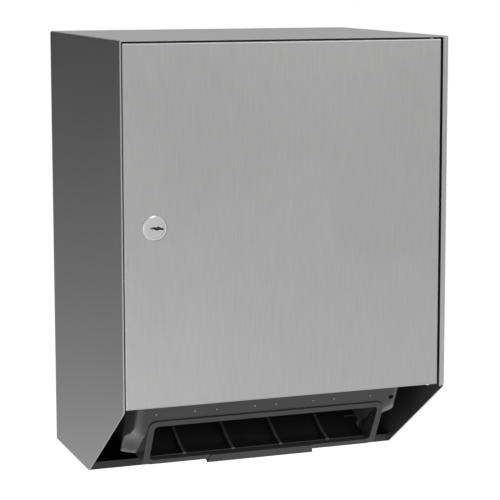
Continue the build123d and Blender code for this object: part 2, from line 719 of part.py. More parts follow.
def make_rear_beam():
    """Square tube across the rear that ties the cheeks together."""
    y, z = place(BEAM_Y, BEAM_Z)
    outer = Pos(0, y, z) * Box(2 * CHEEK_INNER, BEAM_SIZE, BEAM_SIZE)
    outer = chamfer(outer.edges().filter_by(Axis.X), 1.5)
    inner = Pos(0, y, z) * Box(2 * CHEEK_INNER - 12, BEAM_SIZE - 4, BEAM_SIZE - 4)
    beam = outer - inner
    for side in (-1, 1):
        for point in beam_screw_points(side):
            beam -= screw_hole(9, point, (-side, 0, 0))
    return beam


# Tray

TRAY_POINTS = [(76.5, 20.8), (90, 21.4), (118, 36.4), (176, 52), (197, 66), (198, 92)]


def ribbon(points, thickness, x_low, x_high):
    """A strip of even thickness that hangs below a side-view path with rounded corners."""
    path = FilletPolyline(*[place(y, z) for y, z in points], radius=22.0)
    start, end = path @ 0, path @ 1
    under = path.translate((0, -thickness, 0))
    edges = [*path.edges(), *under.edges(), Line(start, under @ 0), Line(end, under @ 1)]
    return extrude(Plane.YZ.offset(x_low) * make_face(edges), x_high - x_low)


def rib_points():
    """Top edge of a chute rib, which rises behind the lip and dies out at the rear."""
    raised = [(y - 0.3 * RIB_HEIGHT, z + RIB_HEIGHT) for y, z in TRAY_POINTS[1:3]]
    return [(TRAY_POINTS[0][0], TRAY_POINTS[0][1] + 0.2 * RIB_HEIGHT), *raised, TRAY_POINTS[3]]


def make_tray():
    """Chute under the drum, with curved ribs that lead the towel to the lip."""
    tray = ribbon(TRAY_POINTS, TRAY_WALL, -CHEEK_INNER, CHEEK_INNER)
    sunk = [(y, z - TRAY_WALL / 2) for y, z in TRAY_POINTS]
    under = ribbon(sunk, 3 * RIB_HEIGHT, -CHEEK_INNER, CHEEK_INNER)
    for index in range(4):
        x = RIB_OFFSET + (index - 1.5) * RIB_PITCH
        rib = ribbon(rib_points(), RIB_HEIGHT + TRAY_WALL, x - RIB_THICKNESS / 2, x + RIB_THICKNESS / 2)
        tray += rib - under
    front, bottom = place(70, 0)
    rear, top = place(104, 60)
    for side in (-1, 1):
        inner, outer = side * (MOUTH_HALF_WIDTH - 1.5), side * (CHEEK_INNER + 1)
        tray -= block((min(inner, outer), front, bottom), (max(inner, outer), rear, top))
        for x, y, z in tray_screw_points(side):
            low, high = sorted((side * CHEEK_INNER, side * (CHEEK_INNER - 12)))
            tray += block((low, y - 4.2, z - 4.2), (high, y + 4.2, z + 4.2))
    for side in (-1, 1):
        for point in tray_screw_points(side):
            tray -= screw_hole(13, point, (-side, 0, 0))
    return tray


# Drum

def drum_local(across, out):
    """A point of the side view from its place across and out along the knife slot."""
    angle = math.radians(SLOT_ANGLE)
    y = DRUM_AXIS[0] + out * math.cos(angle) - across * math.sin(angle)
    z = DRUM_AXIS[1] + out * math.sin(angle) + across * math.cos(angle)
    return (y, z)


def slot_block(across_low, across_high, out_low, out_high, x_low, x_high):
    """A box square to the knife slot."""
    corners = [
        drum_local(across_low, out_low),
        drum_local(across_high, out_low),
        drum_local(across_high, out_high),
        drum_local(across_low, out_high),
    ]
    return side_plate(corners, x_low, x_high)


END_LEFT = -DRUM_HALF_LENGTH + CAM_RECESS
END_RIGHT = DRUM_HALF_LENGTH - END_THICKNESS
KNIFE_PIVOT = drum_local(KNIFE_PIVOT_OFFSET, KNIFE_PIVOT_RADIUS)


def grip_centres():
    """Places along the drum of the rubber bands and of the pinch rollers."""
    return [GRIP_OFFSET + (index - (GRIP_COUNT - 1) / 2) * GRIP_PITCH for index in range(GRIP_COUNT)]


def slot_cutter():
    """The knife slot, between the drum's two ends."""
    half = SLOT_WIDTH / 2
    return slot_block(-half, half, 0.7 * DRUM_RADIUS, DRUM_RADIUS + 5, END_LEFT + END_THICKNESS, END_RIGHT)


def make_drum_shell():
    """Drum tube, open along the knife slot."""
    radius = DRUM_RADIUS - GRIP_THICKNESS
    tube = side_disc(DRUM_AXIS, radius, -DRUM_HALF_LENGTH, DRUM_HALF_LENGTH)
    tube -= side_disc(DRUM_AXIS, DRUM_RADIUS - DRUM_WALL, -DRUM_HALF_LENGTH - 1, DRUM_HALF_LENGTH + 1)
    return tube - slot_cutter()


def make_drum_grips():
    """Four rubber bands, open at the knife slot."""
    bands = []
    for x in grip_centres():
        low, high = x - GRIP_LENGTH / 2, x + GRIP_LENGTH / 2
        band = side_disc(DRUM_AXIS, DRUM_RADIUS, low, high)
        band -= side_disc(DRUM_AXIS, DRUM_RADIUS - GRIP_THICKNESS, low - 1, high + 1)
        bands.append(band - slot_cutter())
    return Compound(children=bands)


def make_drum_end(x_low):
    """A drum end with a hub and a hole for the knife's rod."""
    end = side_disc(DRUM_AXIS, DRUM_RADIUS - DRUM_WALL, x_low, x_low + END_THICKNESS)
    inward = 8.0 if x_low < 0 else -8.0
    hub = sorted((x_low + END_THICKNESS / 2, x_low + END_THICKNESS / 2 + inward))
    end += side_disc(DRUM_AXIS, SHAFT_RADIUS + 4, *hub)
    end -= side_disc(KNIFE_PIVOT, KNIFE_ROD_RADIUS + RUN_CLEARANCE, x_low - 1, x_low + END_THICKNESS + 1)
    return end - side_disc(DRUM_AXIS, SHAFT_RADIUS, x_low - 12, x_low + 12)


def make_drum_shaft():
    """Steel shaft through both cheeks, with a flat where the gear sits."""
    high = GEAR_LOW + GEAR_WIDTH + 0.8
    shaft = side_disc(DRUM_AXIS, SHAFT_RADIUS, -CHEEK_OUTER - 2.0, high)
    y, z = DRUM_AXIS
    flat = block((GEAR_LOW, y - 5, z + SHAFT_RADIUS - 0.8), (high + 1, y + 5, z + SHAFT_RADIUS + 1))
    return shaft - flat


def make_drum_bushings():
    """Two plain bushes, pressed into the cheeks and standing a little proud inside."""
    bushes = []
    for side in (-1, 1):
        sleeve = sorted((side * (CHEEK_INNER - BUSH_PROUD), side * CHEEK_OUTER))
        bush = side_disc(DRUM_AXIS, SHAFT_RADIUS + BUSH_WALL, *sleeve)
        bush -= side_disc(DRUM_AXIS, SHAFT_RADIUS + RUN_CLEARANCE, sleeve[0] - 1, sleeve[1] + 1)
        bushes.append(bush)
    return Compound(children=bushes)


# Knife and its cam

BLADE_LOW = END_LEFT + END_THICKNESS + KNIFE_END_GAP
BLADE_HIGH = END_RIGHT - KNIFE_END_GAP


def make_knife_holder():
    """Pivoting bar that carries the blade, with the follower arm at its left end."""
    across = -KNIFE_PIVOT_OFFSET
    low, seat = KNIFE_BAR_LOW, KNIFE_BAR_LOW + KNIFE_BAR
    bar = slot_block(across - 2.5, KNIFE_PIVOT_OFFSET, low, seat, BLADE_LOW, BLADE_HIGH)
    bar += slot_block(across - 2.5, across - KNIFE_THICKNESS / 2, low, seat + 5.0, BLADE_LOW, BLADE_HIGH)
    bar += side_disc(KNIFE_PIVOT, KNIFE_ROD_RADIUS + 2, BLADE_LOW, BLADE_HIGH)
    return bar - side_disc(KNIFE_PIVOT, KNIFE_ROD_RADIUS, BLADE_LOW - 1, BLADE_HIGH + 1)


def make_knife_rod():
    """Rod that the holder turns on, through both drum ends."""
    return side_disc(KNIFE_PIVOT, KNIFE_ROD_RADIUS, FOLLOWER_LOW, DRUM_HALF_LENGTH - 0.5)


FOLLOWER_LOW = -CHEEK_INNER + CAM_PLATE + CAM_GAP
FOLLOWER_AXIS = drum_local(KNIFE_PIVOT_OFFSET + FOLLOWER_ARM, KNIFE_PIVOT_RADIUS)


def make_cam_follower():
    """Crank on the knife's rod with the pin that rides on the fixed cam."""
    low, high = FOLLOWER_LOW, FOLLOWER_LOW + FOLLOWER_PLATE
    half = KNIFE_ROD_RADIUS + 1.5
    near, far = KNIFE_PIVOT_OFFSET, KNIFE_PIVOT_OFFSET + FOLLOWER_ARM
    outline = [
        drum_local(near - half, KNIFE_PIVOT_RADIUS - 1.5),
        drum_local(near - 1.5, KNIFE_PIVOT_RADIUS - half),
        drum_local(far + 1.5, KNIFE_PIVOT_RADIUS - half),
        drum_local(far + half, KNIFE_PIVOT_RADIUS - 1.5),
        drum_local(far + half, KNIFE_PIVOT_RADIUS + 1.5),
        drum_local(far + 1.5, KNIFE_PIVOT_RADIUS + half),
        drum_local(near - 1.5, KNIFE_PIVOT_RADIUS + half),
        drum_local(near - half, KNIFE_PIVOT_RADIUS + 1.5),
    ]
    crank = side_plate(outline, low, high)
    crank += side_disc(FOLLOWER_AXIS, FOLLOWER_RADIUS, -CHEEK_INNER + 1.0, high)
    return crank - side_disc(KNIFE_PIVOT, KNIFE_ROD_RADIUS, low - 1, high + 1)


def make_knife_blade():
    """Serrated steel blade, screwed to the holder."""
    half = KNIFE_THICKNESS / 2
    across = -KNIFE_PIVOT_OFFSET
    root = KNIFE_TIP_RADIUS - KNIFE_TOOTH
    seat = KNIFE_BAR_LOW + KNIFE_BAR + 0.1
    blade = slot_block(across - half, across + half, seat, root, BLADE_LOW + 1, BLADE_HIGH - 1)
    count = int((BLADE_HIGH - BLADE_LOW - 2) / KNIFE_PITCH)
    start = (BLADE_LOW + BLADE_HIGH - count * KNIFE_PITCH) / 2
    base = [(start, root - 0.5)]
    for index in range(count):
        base.append((start + index * KNIFE_PITCH, root))
        base.append((start + (index + 0.5) * KNIFE_PITCH, KNIFE_TIP_RADIUS))
    base.append((start + count * KNIFE_PITCH, root))
    base.append((start + count * KNIFE_PITCH, root - 0.5))
    angle = math.radians(SLOT_ANGLE)
    y, z = drum_local(across - half, 0)
    plane = Plane(origin=(0, y, z), x_dir=(1, 0, 0), z_dir=(0, -math.sin(angle), math.cos(angle)))
    teeth = extrude(plane * make_face(Polyline(*base, close=True)), KNIFE_THICKNESS)
    return blade + teeth


def cam_radius(degrees):
    """Radius of the cam: high where it keeps the knife in, low elsewhere."""
    high = math.dist(DRUM_AXIS, FOLLOWER_AXIS) - FOLLOWER_RADIUS - CAM_GAP
    rise = smooth((degrees - 70.0) / 25.0) - smooth((degrees - 195.0) / 25.0)
    return high - CAM_LIFT * (1 - rise)


def smooth(x):
    """A step from 0 to 1 with soft ends."""
    x = min(max(x, 0.0), 1.0)
    return x * x * (3 - 2 * x)


def cam_screw_points():
    """Seats of the screws that hold the cam to the left cheek."""
    return [(-CHEEK_OUTER, *polar(DRUM_AXIS, 20.0, angle)) for angle in (60.0, 240.0)]


def make_knife_cam():
    """Fixed cam on the left cheek that keeps the knife in past the pinch rollers."""
    offset = math.degrees(math.atan2(KNIFE_PIVOT_OFFSET + FOLLOWER_ARM, KNIFE_PIVOT_RADIUS))
    points = []
    for step in range(CAM_STEPS):
        angle = 360.0 / CAM_STEPS * step
        points.append(polar(DRUM_AXIS, cam_radius(angle), angle + offset))
    cam = side_plate(points, -CHEEK_INNER, -CHEEK_INNER + CAM_PLATE)
    cam -= side_disc(DRUM_AXIS, SHAFT_RADIUS + BUSH_WALL + 1.0, -CHEEK_OUTER, -CHEEK_INNER + 10)
    for point in cam_screw_points():
        cam -= screw_hole(7.4, point, (1, 0, 0))
    return cam


# Pinch rollers and their rocker

def arm_places():
    """Places along the rocker of its five arms."""
    centres = grip_centres()
    half = GRIP_LENGTH / 2 + 0.5 + ROCKER_ARM / 2
    between = [(a + b) / 2 for a, b in zip(centres, centres[1:])]
    return [centres[0] - half] + between + [centres[-1] + half]


def make_rocker():
    """Moulded bar with five arms that carry the pinch rollers' shaft."""
    y, z = ROCKER_AXIS
    reach = CHEEK_INNER - 0.5
    bar = Pos(0, y, z) * Box(2 * reach, 11, 11)
    bar = chamfer(bar.edges().filter_by(Axis.X), 3.0)
    dy, dz = PINCH_AXIS[0] - y, PINCH_AXIS[1] - z
    length = math.hypot(dy, dz)
    side = (dz / length * 5.0, -dy / length * 5.0)
    for x in arm_places():
        low, high = x - ROCKER_ARM / 2, x + ROCKER_ARM / 2
        eye = Plane.YZ.offset(low) * Pos(*PINCH_AXIS) * RegularPolygon(6.4, 12)
        bar += extrude(eye, high - low)
        web = [
            (y + side[0], z + side[1]),
            (PINCH_AXIS[0] + side[0], PINCH_AXIS[1] + side[1]),
            (PINCH_AXIS[0] - side[0], PINCH_AXIS[1] - side[1]),
            (y - side[0], z - side[1]),
        ]
        bar += side_plate(web, low, high)
    bar -= side_disc(ROCKER_AXIS, ROCKER_ROD_RADIUS, -WIDTH, WIDTH)
    return bar - side_disc(PINCH_AXIS, PINCH_CORE_RADIUS + RUN_CLEARANCE, -WIDTH, WIDTH)


def make_rocker_rod():
    """Steel rod that the rocker turns on."""
    return side_disc(ROCKER_AXIS, ROCKER_ROD_RADIUS, -CHEEK_OUTER - 2.0, LEVER_LOW + LEVER_THICKNESS + 1.0)


LEVER_LOW = CHEEK_OUTER + 1.2


def make_release_lever():
    """Lever on the rod's right end that lifts the rollers off the drum."""
    y, z = ROCKER_AXIS
    high = LEVER_LOW + LEVER_THICKNESS
    tip = (y - 10, z + LEVER_LENGTH)
    outline = [
        (y - 7, z),
        (tip[0] - 4, tip[1]),
        (tip[0] + 4, tip[1]),
        (y + 7, z),
    ]
    lever = side_plate(outline, LEVER_LOW, high)
    boss = Plane.YZ.offset(LEVER_LOW) * Pos(*ROCKER_AXIS) * RegularPolygon(7.4, 12)
    lever += extrude(boss, LEVER_THICKNESS)
    pad = Pos(high + 3.5, tip[0], tip[1]) * Box(15, 12, 4)
    pad = chamfer(pad.edges().filter_by(Axis.Z), 2.5)
    lever += pad
    return lever - side_disc(ROCKER_AXIS, ROCKER_ROD_RADIUS, LEVER_LOW - 1, high + 1)


def make_pinch_shaft():
    """Steel shaft that carries the four pinch rollers."""
    places = arm_places()
    return side_disc(PINCH_AXIS, PINCH_CORE_RADIUS, places[0] - 1.2, places[-1] + ROCKER_ARM)


def make_pinch_rollers():
    """Four rubber rollers on the shaft."""
    rollers = []
    for x in grip_centres():
        low, high = x - GRIP_LENGTH / 2, x + GRIP_LENGTH / 2
        roller = side_disc(PINCH_AXIS, PINCH_RADIUS, low, high)
        rollers.append(roller - side_disc(PINCH_AXIS, PINCH_CORE_RADIUS, low - 1, high + 1))
    return Compound(children=rollers)


# Gears

def gear_face(teeth, turn):
    """Outline of a spur gear, one tooth centred on the angle turn; flanks are involute chords."""
    pitch = GEAR_MODULE * teeth / 2
    base = pitch * math.cos(math.radians(PRESSURE_ANGLE))
    tip = pitch + 0.85 * GEAR_MODULE
    root = pitch - 1.15 * GEAR_MODULE
    half = math.pi / (2 * teeth) - BACKLASH / (2 * pitch)
    spread = math.tan(math.radians(PRESSURE_ANGLE)) - math.radians(PRESSURE_ANGLE)
    flank = []
    start = max(base, root)
    for radius in (start, tip):
        pressure = math.acos(min(base / radius, 1.0))
        flank.append((radius, half + spread - (math.tan(pressure) - pressure)))
    if root < base:
        flank.insert(0, (root, flank[0][1]))
    points = []
    for tooth in range(teeth):
        centre = math.radians(turn) + 2 * math.pi * tooth / teeth
        for radius, angle in flank:
            points.append((radius * math.cos(centre - angle), radius * math.sin(centre - angle)))
        for radius, angle in reversed(flank):
            points.append((radius * math.cos(centre + angle), radius * math.sin(centre + angle)))
    return make_face(Polyline(*points, close=True))


def meshed_turn(direction, teeth, other):
    """Turn that puts a gear's gap on a tooth of its neighbour, which has a tooth at zero."""
    back = -direction * other / teeth
    return direction + 180 - back - 2 * direction * other / teeth + 180 / teeth


def gear_disc(axis, teeth, turn):
    """A gear's body between the cheek and the gear cover."""
    face = Pos(*axis) * gear_face(teeth, turn)
    return extrude(Plane.YZ.offset(GEAR_LOW) * face, GEAR_WIDTH)


def make_drum_gear():
    """Large gear on the drum's shaft, dished on its outer side."""
    gear = gear_disc(DRUM_AXIS, DRUM_TEETH, 0)
    low, high = GEAR_LOW + GEAR_DISH, GEAR_LOW + GEAR_WIDTH + 1
    gear -= side_disc(DRUM_AXIS, 31, low, high) - side_disc(DRUM_AXIS, 9, low - 1, high + 1)
    bore = side_disc(DRUM_AXIS, SHAFT_RADIUS, GEAR_LOW - 1, GEAR_LOW + GEAR_WIDTH + 1)
    y, z = DRUM_AXIS
    flat = block((GEAR_LOW - 2, y - 5, z + SHAFT_RADIUS - 0.8), (GEAR_LOW + GEAR_WIDTH + 2, y + 5, z + 6))
    return gear - (bore - flat)


def make_feed_gear():
    """Small gear that the feed wheel turns, with a square neck for the wheel."""
    gear = gear_disc(FEED_AXIS, FEED_TEETH, meshed_turn(FEED_ANGLE, FEED_TEETH, DRUM_TEETH))
    high = WHEEL_LOW + FEED_WHEEL_WIDTH
    neck = Pos((GEAR_LOW + GEAR_WIDTH + high) / 2, *FEED_AXIS) * Box(
        high - GEAR_LOW - GEAR_WIDTH, WHEEL_SQUARE, WHEEL_SQUARE
    )
    gear += neck
    return gear - side_disc(FEED_AXIS, STUB_RADIUS + RUN_CLEARANCE, GEAR_LOW - 1, high + 1)


WHEEL_LOW = GEAR_LOW + GEAR_WIDTH + GEAR_COVER_GAP + GEAR_COVER_WALL + 1.2


def make_feed_wheel():
    """Thumb wheel with finger notches, for feeding the towel by hand."""
    high = WHEEL_LOW + FEED_WHEEL_WIDTH
    outline = []
    for index in range(FEED_WHEEL_NOTCHES):
        for share, drop in ((0.0, 1.6), (0.17, 1.1), (0.3, 0.0), (0.7, 0.0), (0.83, 1.1)):
            angle = 360 / FEED_WHEEL_NOTCHES * (index + share)
            outline.append(polar(FEED_AXIS, FEED_WHEEL_RADIUS - drop, angle))
    wheel = side_plate(outline, WHEEL_LOW, high)
    square = Pos((WHEEL_LOW + high) / 2, *FEED_AXIS) * Box(2 * FEED_WHEEL_WIDTH, WHEEL_SQUARE, WHEEL_SQUARE)
    return wheel - square


def make_damper_gear():
    """Pinion of the damper that slows the drum after the cut."""
    gear = gear_disc(DAMPER_AXIS, DAMPER_TEETH, meshed_turn(DAMPER_ANGLE, DAMPER_TEETH, DRUM_TEETH))
    return gear - side_disc(DAMPER_AXIS, STUB_RADIUS + RUN_CLEARANCE, GEAR_LOW - 1, GEAR_LOW + GEAR_WIDTH + 1)


def make_gear_stubs():
    """Two headed pins in the right cheek that the small gears turn on."""
    pins = []
    for axis, high in (
        (FEED_AXIS, WHEEL_LOW + FEED_WHEEL_WIDTH + 1.0),
        (DAMPER_AXIS, GEAR_LOW + GEAR_WIDTH + 1.0),
    ):
        pin = side_disc(axis, STUB_RADIUS, CHEEK_INNER, high)
        pins.append(pin + side_disc(axis, STUB_RADIUS + 1.8, high - 0.7, high + 0.6))
    return Compound(children=pins)


def cover_pads():
    """Centres and inner radii of the gear cover's three joined rounds."""
    tip = 0.85 * GEAR_MODULE + GEAR_COVER_GAP
    return [
        (DRUM_AXIS, GEAR_MODULE * DRUM_TEETH / 2 + tip),
        (FEED_AXIS, GEAR_MODULE * FEED_TEETH / 2 + tip),
        (DAMPER_AXIS, GEAR_MODULE * DAMPER_TEETH / 2 + tip),
    ]


def make_gear_cover():
    """Cap over the gears, with a round hole for the feed wheel's neck."""
    top = GEAR_LOW + GEAR_WIDTH + GEAR_COVER_GAP
    outer = Part()
    inner = Part()
    for axis, radius in cover_pads():
        outer += side_disc(axis, radius + GEAR_COVER_WALL, CHEEK_OUTER, top + GEAR_COVER_WALL)
        inner += side_disc(axis, radius, CHEEK_OUTER - 1, top)
    cover = outer - inner
    hole = WHEEL_SQUARE / 2 * math.sqrt(2) + 1.6
    return cover - side_disc(FEED_AXIS, hole, top - 1, top + GEAR_COVER_WALL + 1)


# Roll holder

def make_arm_bracket(side):
    """Bracket on the back with two ears for one arm's pin."""
    x = side * (ARM_INNER + ARM_THICKNESS / 2)
    z = BOTTOM + ROLL_Z
    rear = -SHEET
    base = block(
        (x - 14, rear - BRACKET_THICKNESS, z - BRACKET_HALF_HEIGHT - 8),
        (x + 14, rear, z + BRACKET_HALF_HEIGHT + 8),
    )
    base = chamfer(base.edges().filter_by(Axis.Y), 3)
    pin_y = ARM_PIN_Y + FRONT
    for low in (z - ARM_HEIGHT / 2 - ARM_END_GAP - BRACKET_THICKNESS, z + ARM_HEIGHT / 2 + ARM_END_GAP):
        ear = block((x - 7, pin_y, low), (x + 7, rear - 1, low + BRACKET_THICKNESS))
        ear += Pos(x, pin_y, low + BRACKET_THICKNESS / 2) * Cylinder(7, BRACKET_THICKNESS)
        base += ear
    base -= Pos(x, pin_y, z) * Cylinder(ARM_PIN_RADIUS, HEIGHT / 2)
    for point in bracket_screw_points(side):
        base -= screw_hole(6, point, (0, 1, 0))
    return base


def bracket_screw_points(side):
    """Seats of the screws that hold one arm bracket to the back."""
    x = side * (ARM_INNER + ARM_THICKNESS / 2)
    z = BOTTOM + ROLL_Z
    return [(x, -SHEET - BRACKET_THICKNESS, z + dz) for dz in (-BRACKET_HALF_HEIGHT, BRACKET_HALF_HEIGHT)]


def make_arm_pin(side):
    """Headed pin through one bracket's ears."""
    x = side * (ARM_INNER + ARM_THICKNESS / 2)
    z = BOTTOM + ROLL_Z
    half = ARM_HEIGHT / 2 + ARM_END_GAP + BRACKET_THICKNESS
    pin = Pos(x, ARM_PIN_Y + FRONT, z - 0.5) * Cylinder(ARM_PIN_RADIUS, 2 * half + 1)
    return pin + Pos(x, ARM_PIN_Y + FRONT, z + half + 0.75) * Cylinder(ARM_PIN_RADIUS + 1.5, 1.5)


def make_roll_arm(side):
    """Arm that swings outwards to take the roll, with a round end for the hub."""
    low, high = sorted((side * ARM_INNER, side * (ARM_INNER + ARM_THICKNESS)))
    x = (low + high) / 2
    z = BOTTOM + ROLL_Z
    pin_y = ARM_PIN_Y + FRONT
    hub_y = ROLL_Y + FRONT
    outline = [
        (pin_y, z - ARM_HEIGHT / 2),
        (pin_y, z + ARM_HEIGHT / 2),
        (pin_y - 20, z + ARM_HEIGHT / 2),
        (hub_y + 10, z + 10),
        (hub_y, z + 10),
        (hub_y, z - 10),
        (hub_y + 10, z - 10),
        (pin_y - 20, z - ARM_HEIGHT / 2),
    ]
    arm = side_plate(outline, low, high)
    arm += side_disc((hub_y, z), 14, low, high)
    arm += Pos(x, pin_y, z) * Cylinder(5.5, ARM_HEIGHT)
    slot = Pos(x, (pin_y + hub_y) / 2, z) * Box(20, 50, 8)
    slot = chamfer(slot.edges().filter_by(Axis.X), 2.5)
    arm -= slot
    arm -= Pos(x, pin_y, z) * Cylinder(ARM_PIN_RADIUS + RUN_CLEARANCE, HEIGHT / 2)
    return arm - side_disc((hub_y, z), HUB_PIN_RADIUS, low - 1, high + 1)


def make_hub_pin(side):
    """Headed pin on the arm that the roll hub turns on."""
    centre = place(ROLL_Y, ROLL_Z)
    tip = ARM_INNER - 0.5 - HUB_FLANGE - HUB_LENGTH - 0.6
    pin = side_disc(centre, HUB_PIN_RADIUS, *sorted((side * (tip - 1.2), side * (ARM_INNER + ARM_THICKNESS))))
    return pin + side_disc(centre, HUB_PIN_RADIUS + 2.5, *sorted((side * (tip - 1.2), side * tip)))


def make_roll_hub(side):
    """Turning hub that fits the roll's core: a flange and a tapered, hollow plug."""
    y, z = place(ROLL_Y, ROLL_Z)
    outer = ARM_INNER - 0.5
    inner = outer - HUB_FLANGE
    tip = inner - HUB_LENGTH
    bore = HUB_PIN_RADIUS + RUN_CLEARANCE
    boss = HUB_PIN_RADIUS + 2.5
    cup = HUB_RADIUS - 2.2 - HUB_TAPER
    profile = [
        (outer, bore),
        (outer, HUB_FLANGE_RADIUS),
        (inner, HUB_FLANGE_RADIUS),
        (inner, HUB_RADIUS),
        (tip, HUB_RADIUS - HUB_TAPER),
        (tip, cup),
        (inner - 2, cup),
        (inner - 2, boss),
        (tip, boss),
        (tip, bore),
    ]
    face = make_face(Polyline(*[(side * x, r) for x, r in profile], close=True))
    plane = Plane(origin=(0, y, z), x_dir=(1, 0, 0), z_dir=(0, -1, 0))
    return revolve(plane * face, Axis((0, y, z), (1, 0, 0)))


def screw_groups():
    """All the screws, grouped by what they hold."""
    groups = {"cheek_screws": [], "cover_screws": [], "tray_screws": [], "beam_screws": []}
    groups["bracket_screws"] = []
    for side in (-1, 1):
        for point in flange_screw_points(side):
            groups["cheek_screws"].append(screw(CHEEK_THICKNESS + SHEET, point, (0, 1, 0)))
        cover_seat = cover_screw_point(side)
        groups["cover_screws"].append(screw(COVER_WALL + CHEEK_THICKNESS, cover_seat, (0, 1, 0)))
        for point in tray_screw_points(side):
            groups["tray_screws"].append(screw(CHEEK_THICKNESS + 9, point, (-side, 0, 0)))
        for point in beam_screw_points(side):
            groups["beam_screws"].append(screw(CHEEK_THICKNESS + 5, point, (-side, 0, 0)))
        for point in bracket_screw_points(side):
            groups["bracket_screws"].append(screw(BRACKET_THICKNESS + SHEET, point, (0, 1, 0)))
    groups["cam_screws"] = [screw(CHEEK_THICKNESS + 4, point, (1, 0, 0)) for point in cam_screw_points()]
    return {name: Compound(children=screws) for name, screws in groups.items()}


if __name__ == "__main__":
    os.makedirs("parts", exist_ok=True)
    nodes = {
        "wrap_shell": make_wrap_shell(),
        "back_panel": make_back_panel(),
        "door": make_door(),
        "hinge_bracket_upper": make_hinge_bracket(True),
        "hinge_bracket_lower": make_hinge_bracket(False),
        "hinge_pin_upper": make_hinge_pin(True),
        "hinge_pin_lower": make_hinge_pin(False),
        "lock_body": make_lock_body(),
        "lock_nut": make_lock_nut(),
        "lock_plug": make_lock_plug(),
        "lock_cam": make_lock_cam(),
        "cam_nut": make_cam_nut(),
        "lock_strike": make_lock_strike(),
        "front_cover": make_front_cover(),
        "cheek_left": make_cheek(-1),
        "cheek_right": make_cheek(1),
        "rear_beam": make_rear_beam(),
        "tray": make_tray(),
        "drum_shell": make_drum_shell(),
        "drum_grips": make_drum_grips(),
        "drum_end_left": make_drum_end(END_LEFT),
        "drum_end_right": make_drum_end(END_RIGHT),
        "drum_shaft": make_drum_shaft(),
        "drum_bushings": make_drum_bushings(),
        "knife_holder": make_knife_holder(),
        "knife_rod": make_knife_rod(),
        "knife_blade": make_knife_blade(),
        "cam_follower": make_cam_follower(),
        "knife_cam": make_knife_cam(),
        "rocker": make_rocker(),
        "rocker_rod": make_rocker_rod(),
        "release_lever": make_release_lever(),
        "pinch_shaft": make_pinch_shaft(),
        "pinch_rollers": make_pinch_rollers(),
        "drum_gear": make_drum_gear(),
        "feed_gear": make_feed_gear(),
        "feed_wheel": make_feed_wheel(),
        "damper_gear": make_damper_gear(),
        "gear_stubs": make_gear_stubs(),
        "gear_cover": make_gear_cover(),
    }
    for side, word in ((-1, "left"), (1, "right")):
        nodes[f"arm_bracket_{word}"] = make_arm_bracket(side)
        nodes[f"arm_pin_{word}"] = make_arm_pin(side)
        nodes[f"roll_arm_{word}"] = make_roll_arm(side)
        nodes[f"hub_pin_{word}"] = make_hub_pin(side)
        nodes[f"roll_hub_{word}"] = make_roll_hub(side)
    nodes.update(screw_groups())
    for name, shape in nodes.items():
        export_step(shape, f"parts/{name}.step")
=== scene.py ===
import bmesh
import bpy
import math
import numpy as np
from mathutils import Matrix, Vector


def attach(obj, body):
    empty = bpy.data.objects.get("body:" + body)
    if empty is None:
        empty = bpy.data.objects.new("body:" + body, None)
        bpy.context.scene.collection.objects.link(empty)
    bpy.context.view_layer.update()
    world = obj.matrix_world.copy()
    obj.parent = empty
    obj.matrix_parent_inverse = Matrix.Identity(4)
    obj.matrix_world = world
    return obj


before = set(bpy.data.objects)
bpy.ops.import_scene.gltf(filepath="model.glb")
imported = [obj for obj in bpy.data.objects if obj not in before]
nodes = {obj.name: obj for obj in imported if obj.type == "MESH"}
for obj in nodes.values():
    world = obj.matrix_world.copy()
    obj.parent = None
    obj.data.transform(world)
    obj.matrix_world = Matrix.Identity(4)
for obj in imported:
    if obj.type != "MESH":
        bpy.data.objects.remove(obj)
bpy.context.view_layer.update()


# Cabinet: one wrapped sheet of stainless steel for the sides and top, and a folded pan
# of the same sheet for the door, guillotined, folded and spot welded. The sheet's satin
# grain runs up the upright faces and across the top.

STEEL_LIGHT = (0.352, 0.351, 0.349)
STEEL_DARK = (0.308, 0.307, 0.305)
STEEL_ROUGHNESS = 0.33
STEEL_SATIN = 0.5
GRAIN_PER_METRE = 1500.0
GRAIN_STRETCH = 0.03
GRAIN_DEPTH = 0.00001
GRAIN_SHARE = 0.75
CLOUDS_PER_METRE = 14.0
LEVEL_FROM = 0.7
ALONG_X = (1.0, 0.0, 0.0)
ALONG_Z = (0.0, 0.0, 1.0)


def new_material(name):
    """A node material, with its tree and its shader."""
    material = bpy.data.materials.new(name)
    material.use_nodes = True
    tree = material.node_tree
    return material, tree, tree.nodes["Principled BSDF"]


def add(tree, kind, **properties):
    """A node of that kind with those properties."""
    node = tree.nodes.new(kind)
    for key, value in properties.items():
        setattr(node, key, value)
    return node


def feed(tree, value, socket):
    """Feeds a socket from another one, or sets it to a fixed value."""
    if isinstance(value, bpy.types.NodeSocket):
        tree.links.new(value, socket)
    else:
        socket.default_value = value


def math_node(tree, operation, *values):
    """A Math node fed by sockets or plain numbers."""
    node = add(tree, "ShaderNodeMath", operation=operation)
    for socket, value in zip(node.inputs, values):
        feed(tree, value, socket)
    return node.outputs[0]


def vector_node(tree, operation, *values):
    """A Vector Math node fed by sockets or triples, and its outputs."""
    node = add(tree, "ShaderNodeVectorMath", operation=operation)
    for socket, value in zip(node.inputs, values):
        feed(tree, value, socket)
    return node.outputs


def mixed(tree, kind, factor, first, second):
    """A Mix node of kind FLOAT, VECTOR or RGBA between two sockets or fixed values."""
    node = add(tree, "ShaderNodeMix", data_type=kind)
    place, result = {"FLOAT": (2, 0), "VECTOR": (4, 1), "RGBA": (6, 2)}[kind]
    feed(tree, factor, node.inputs[0])
    feed(tree, first, node.inputs[place])
    feed(tree, second, node.inputs[place + 1])
    return node.outputs[result]


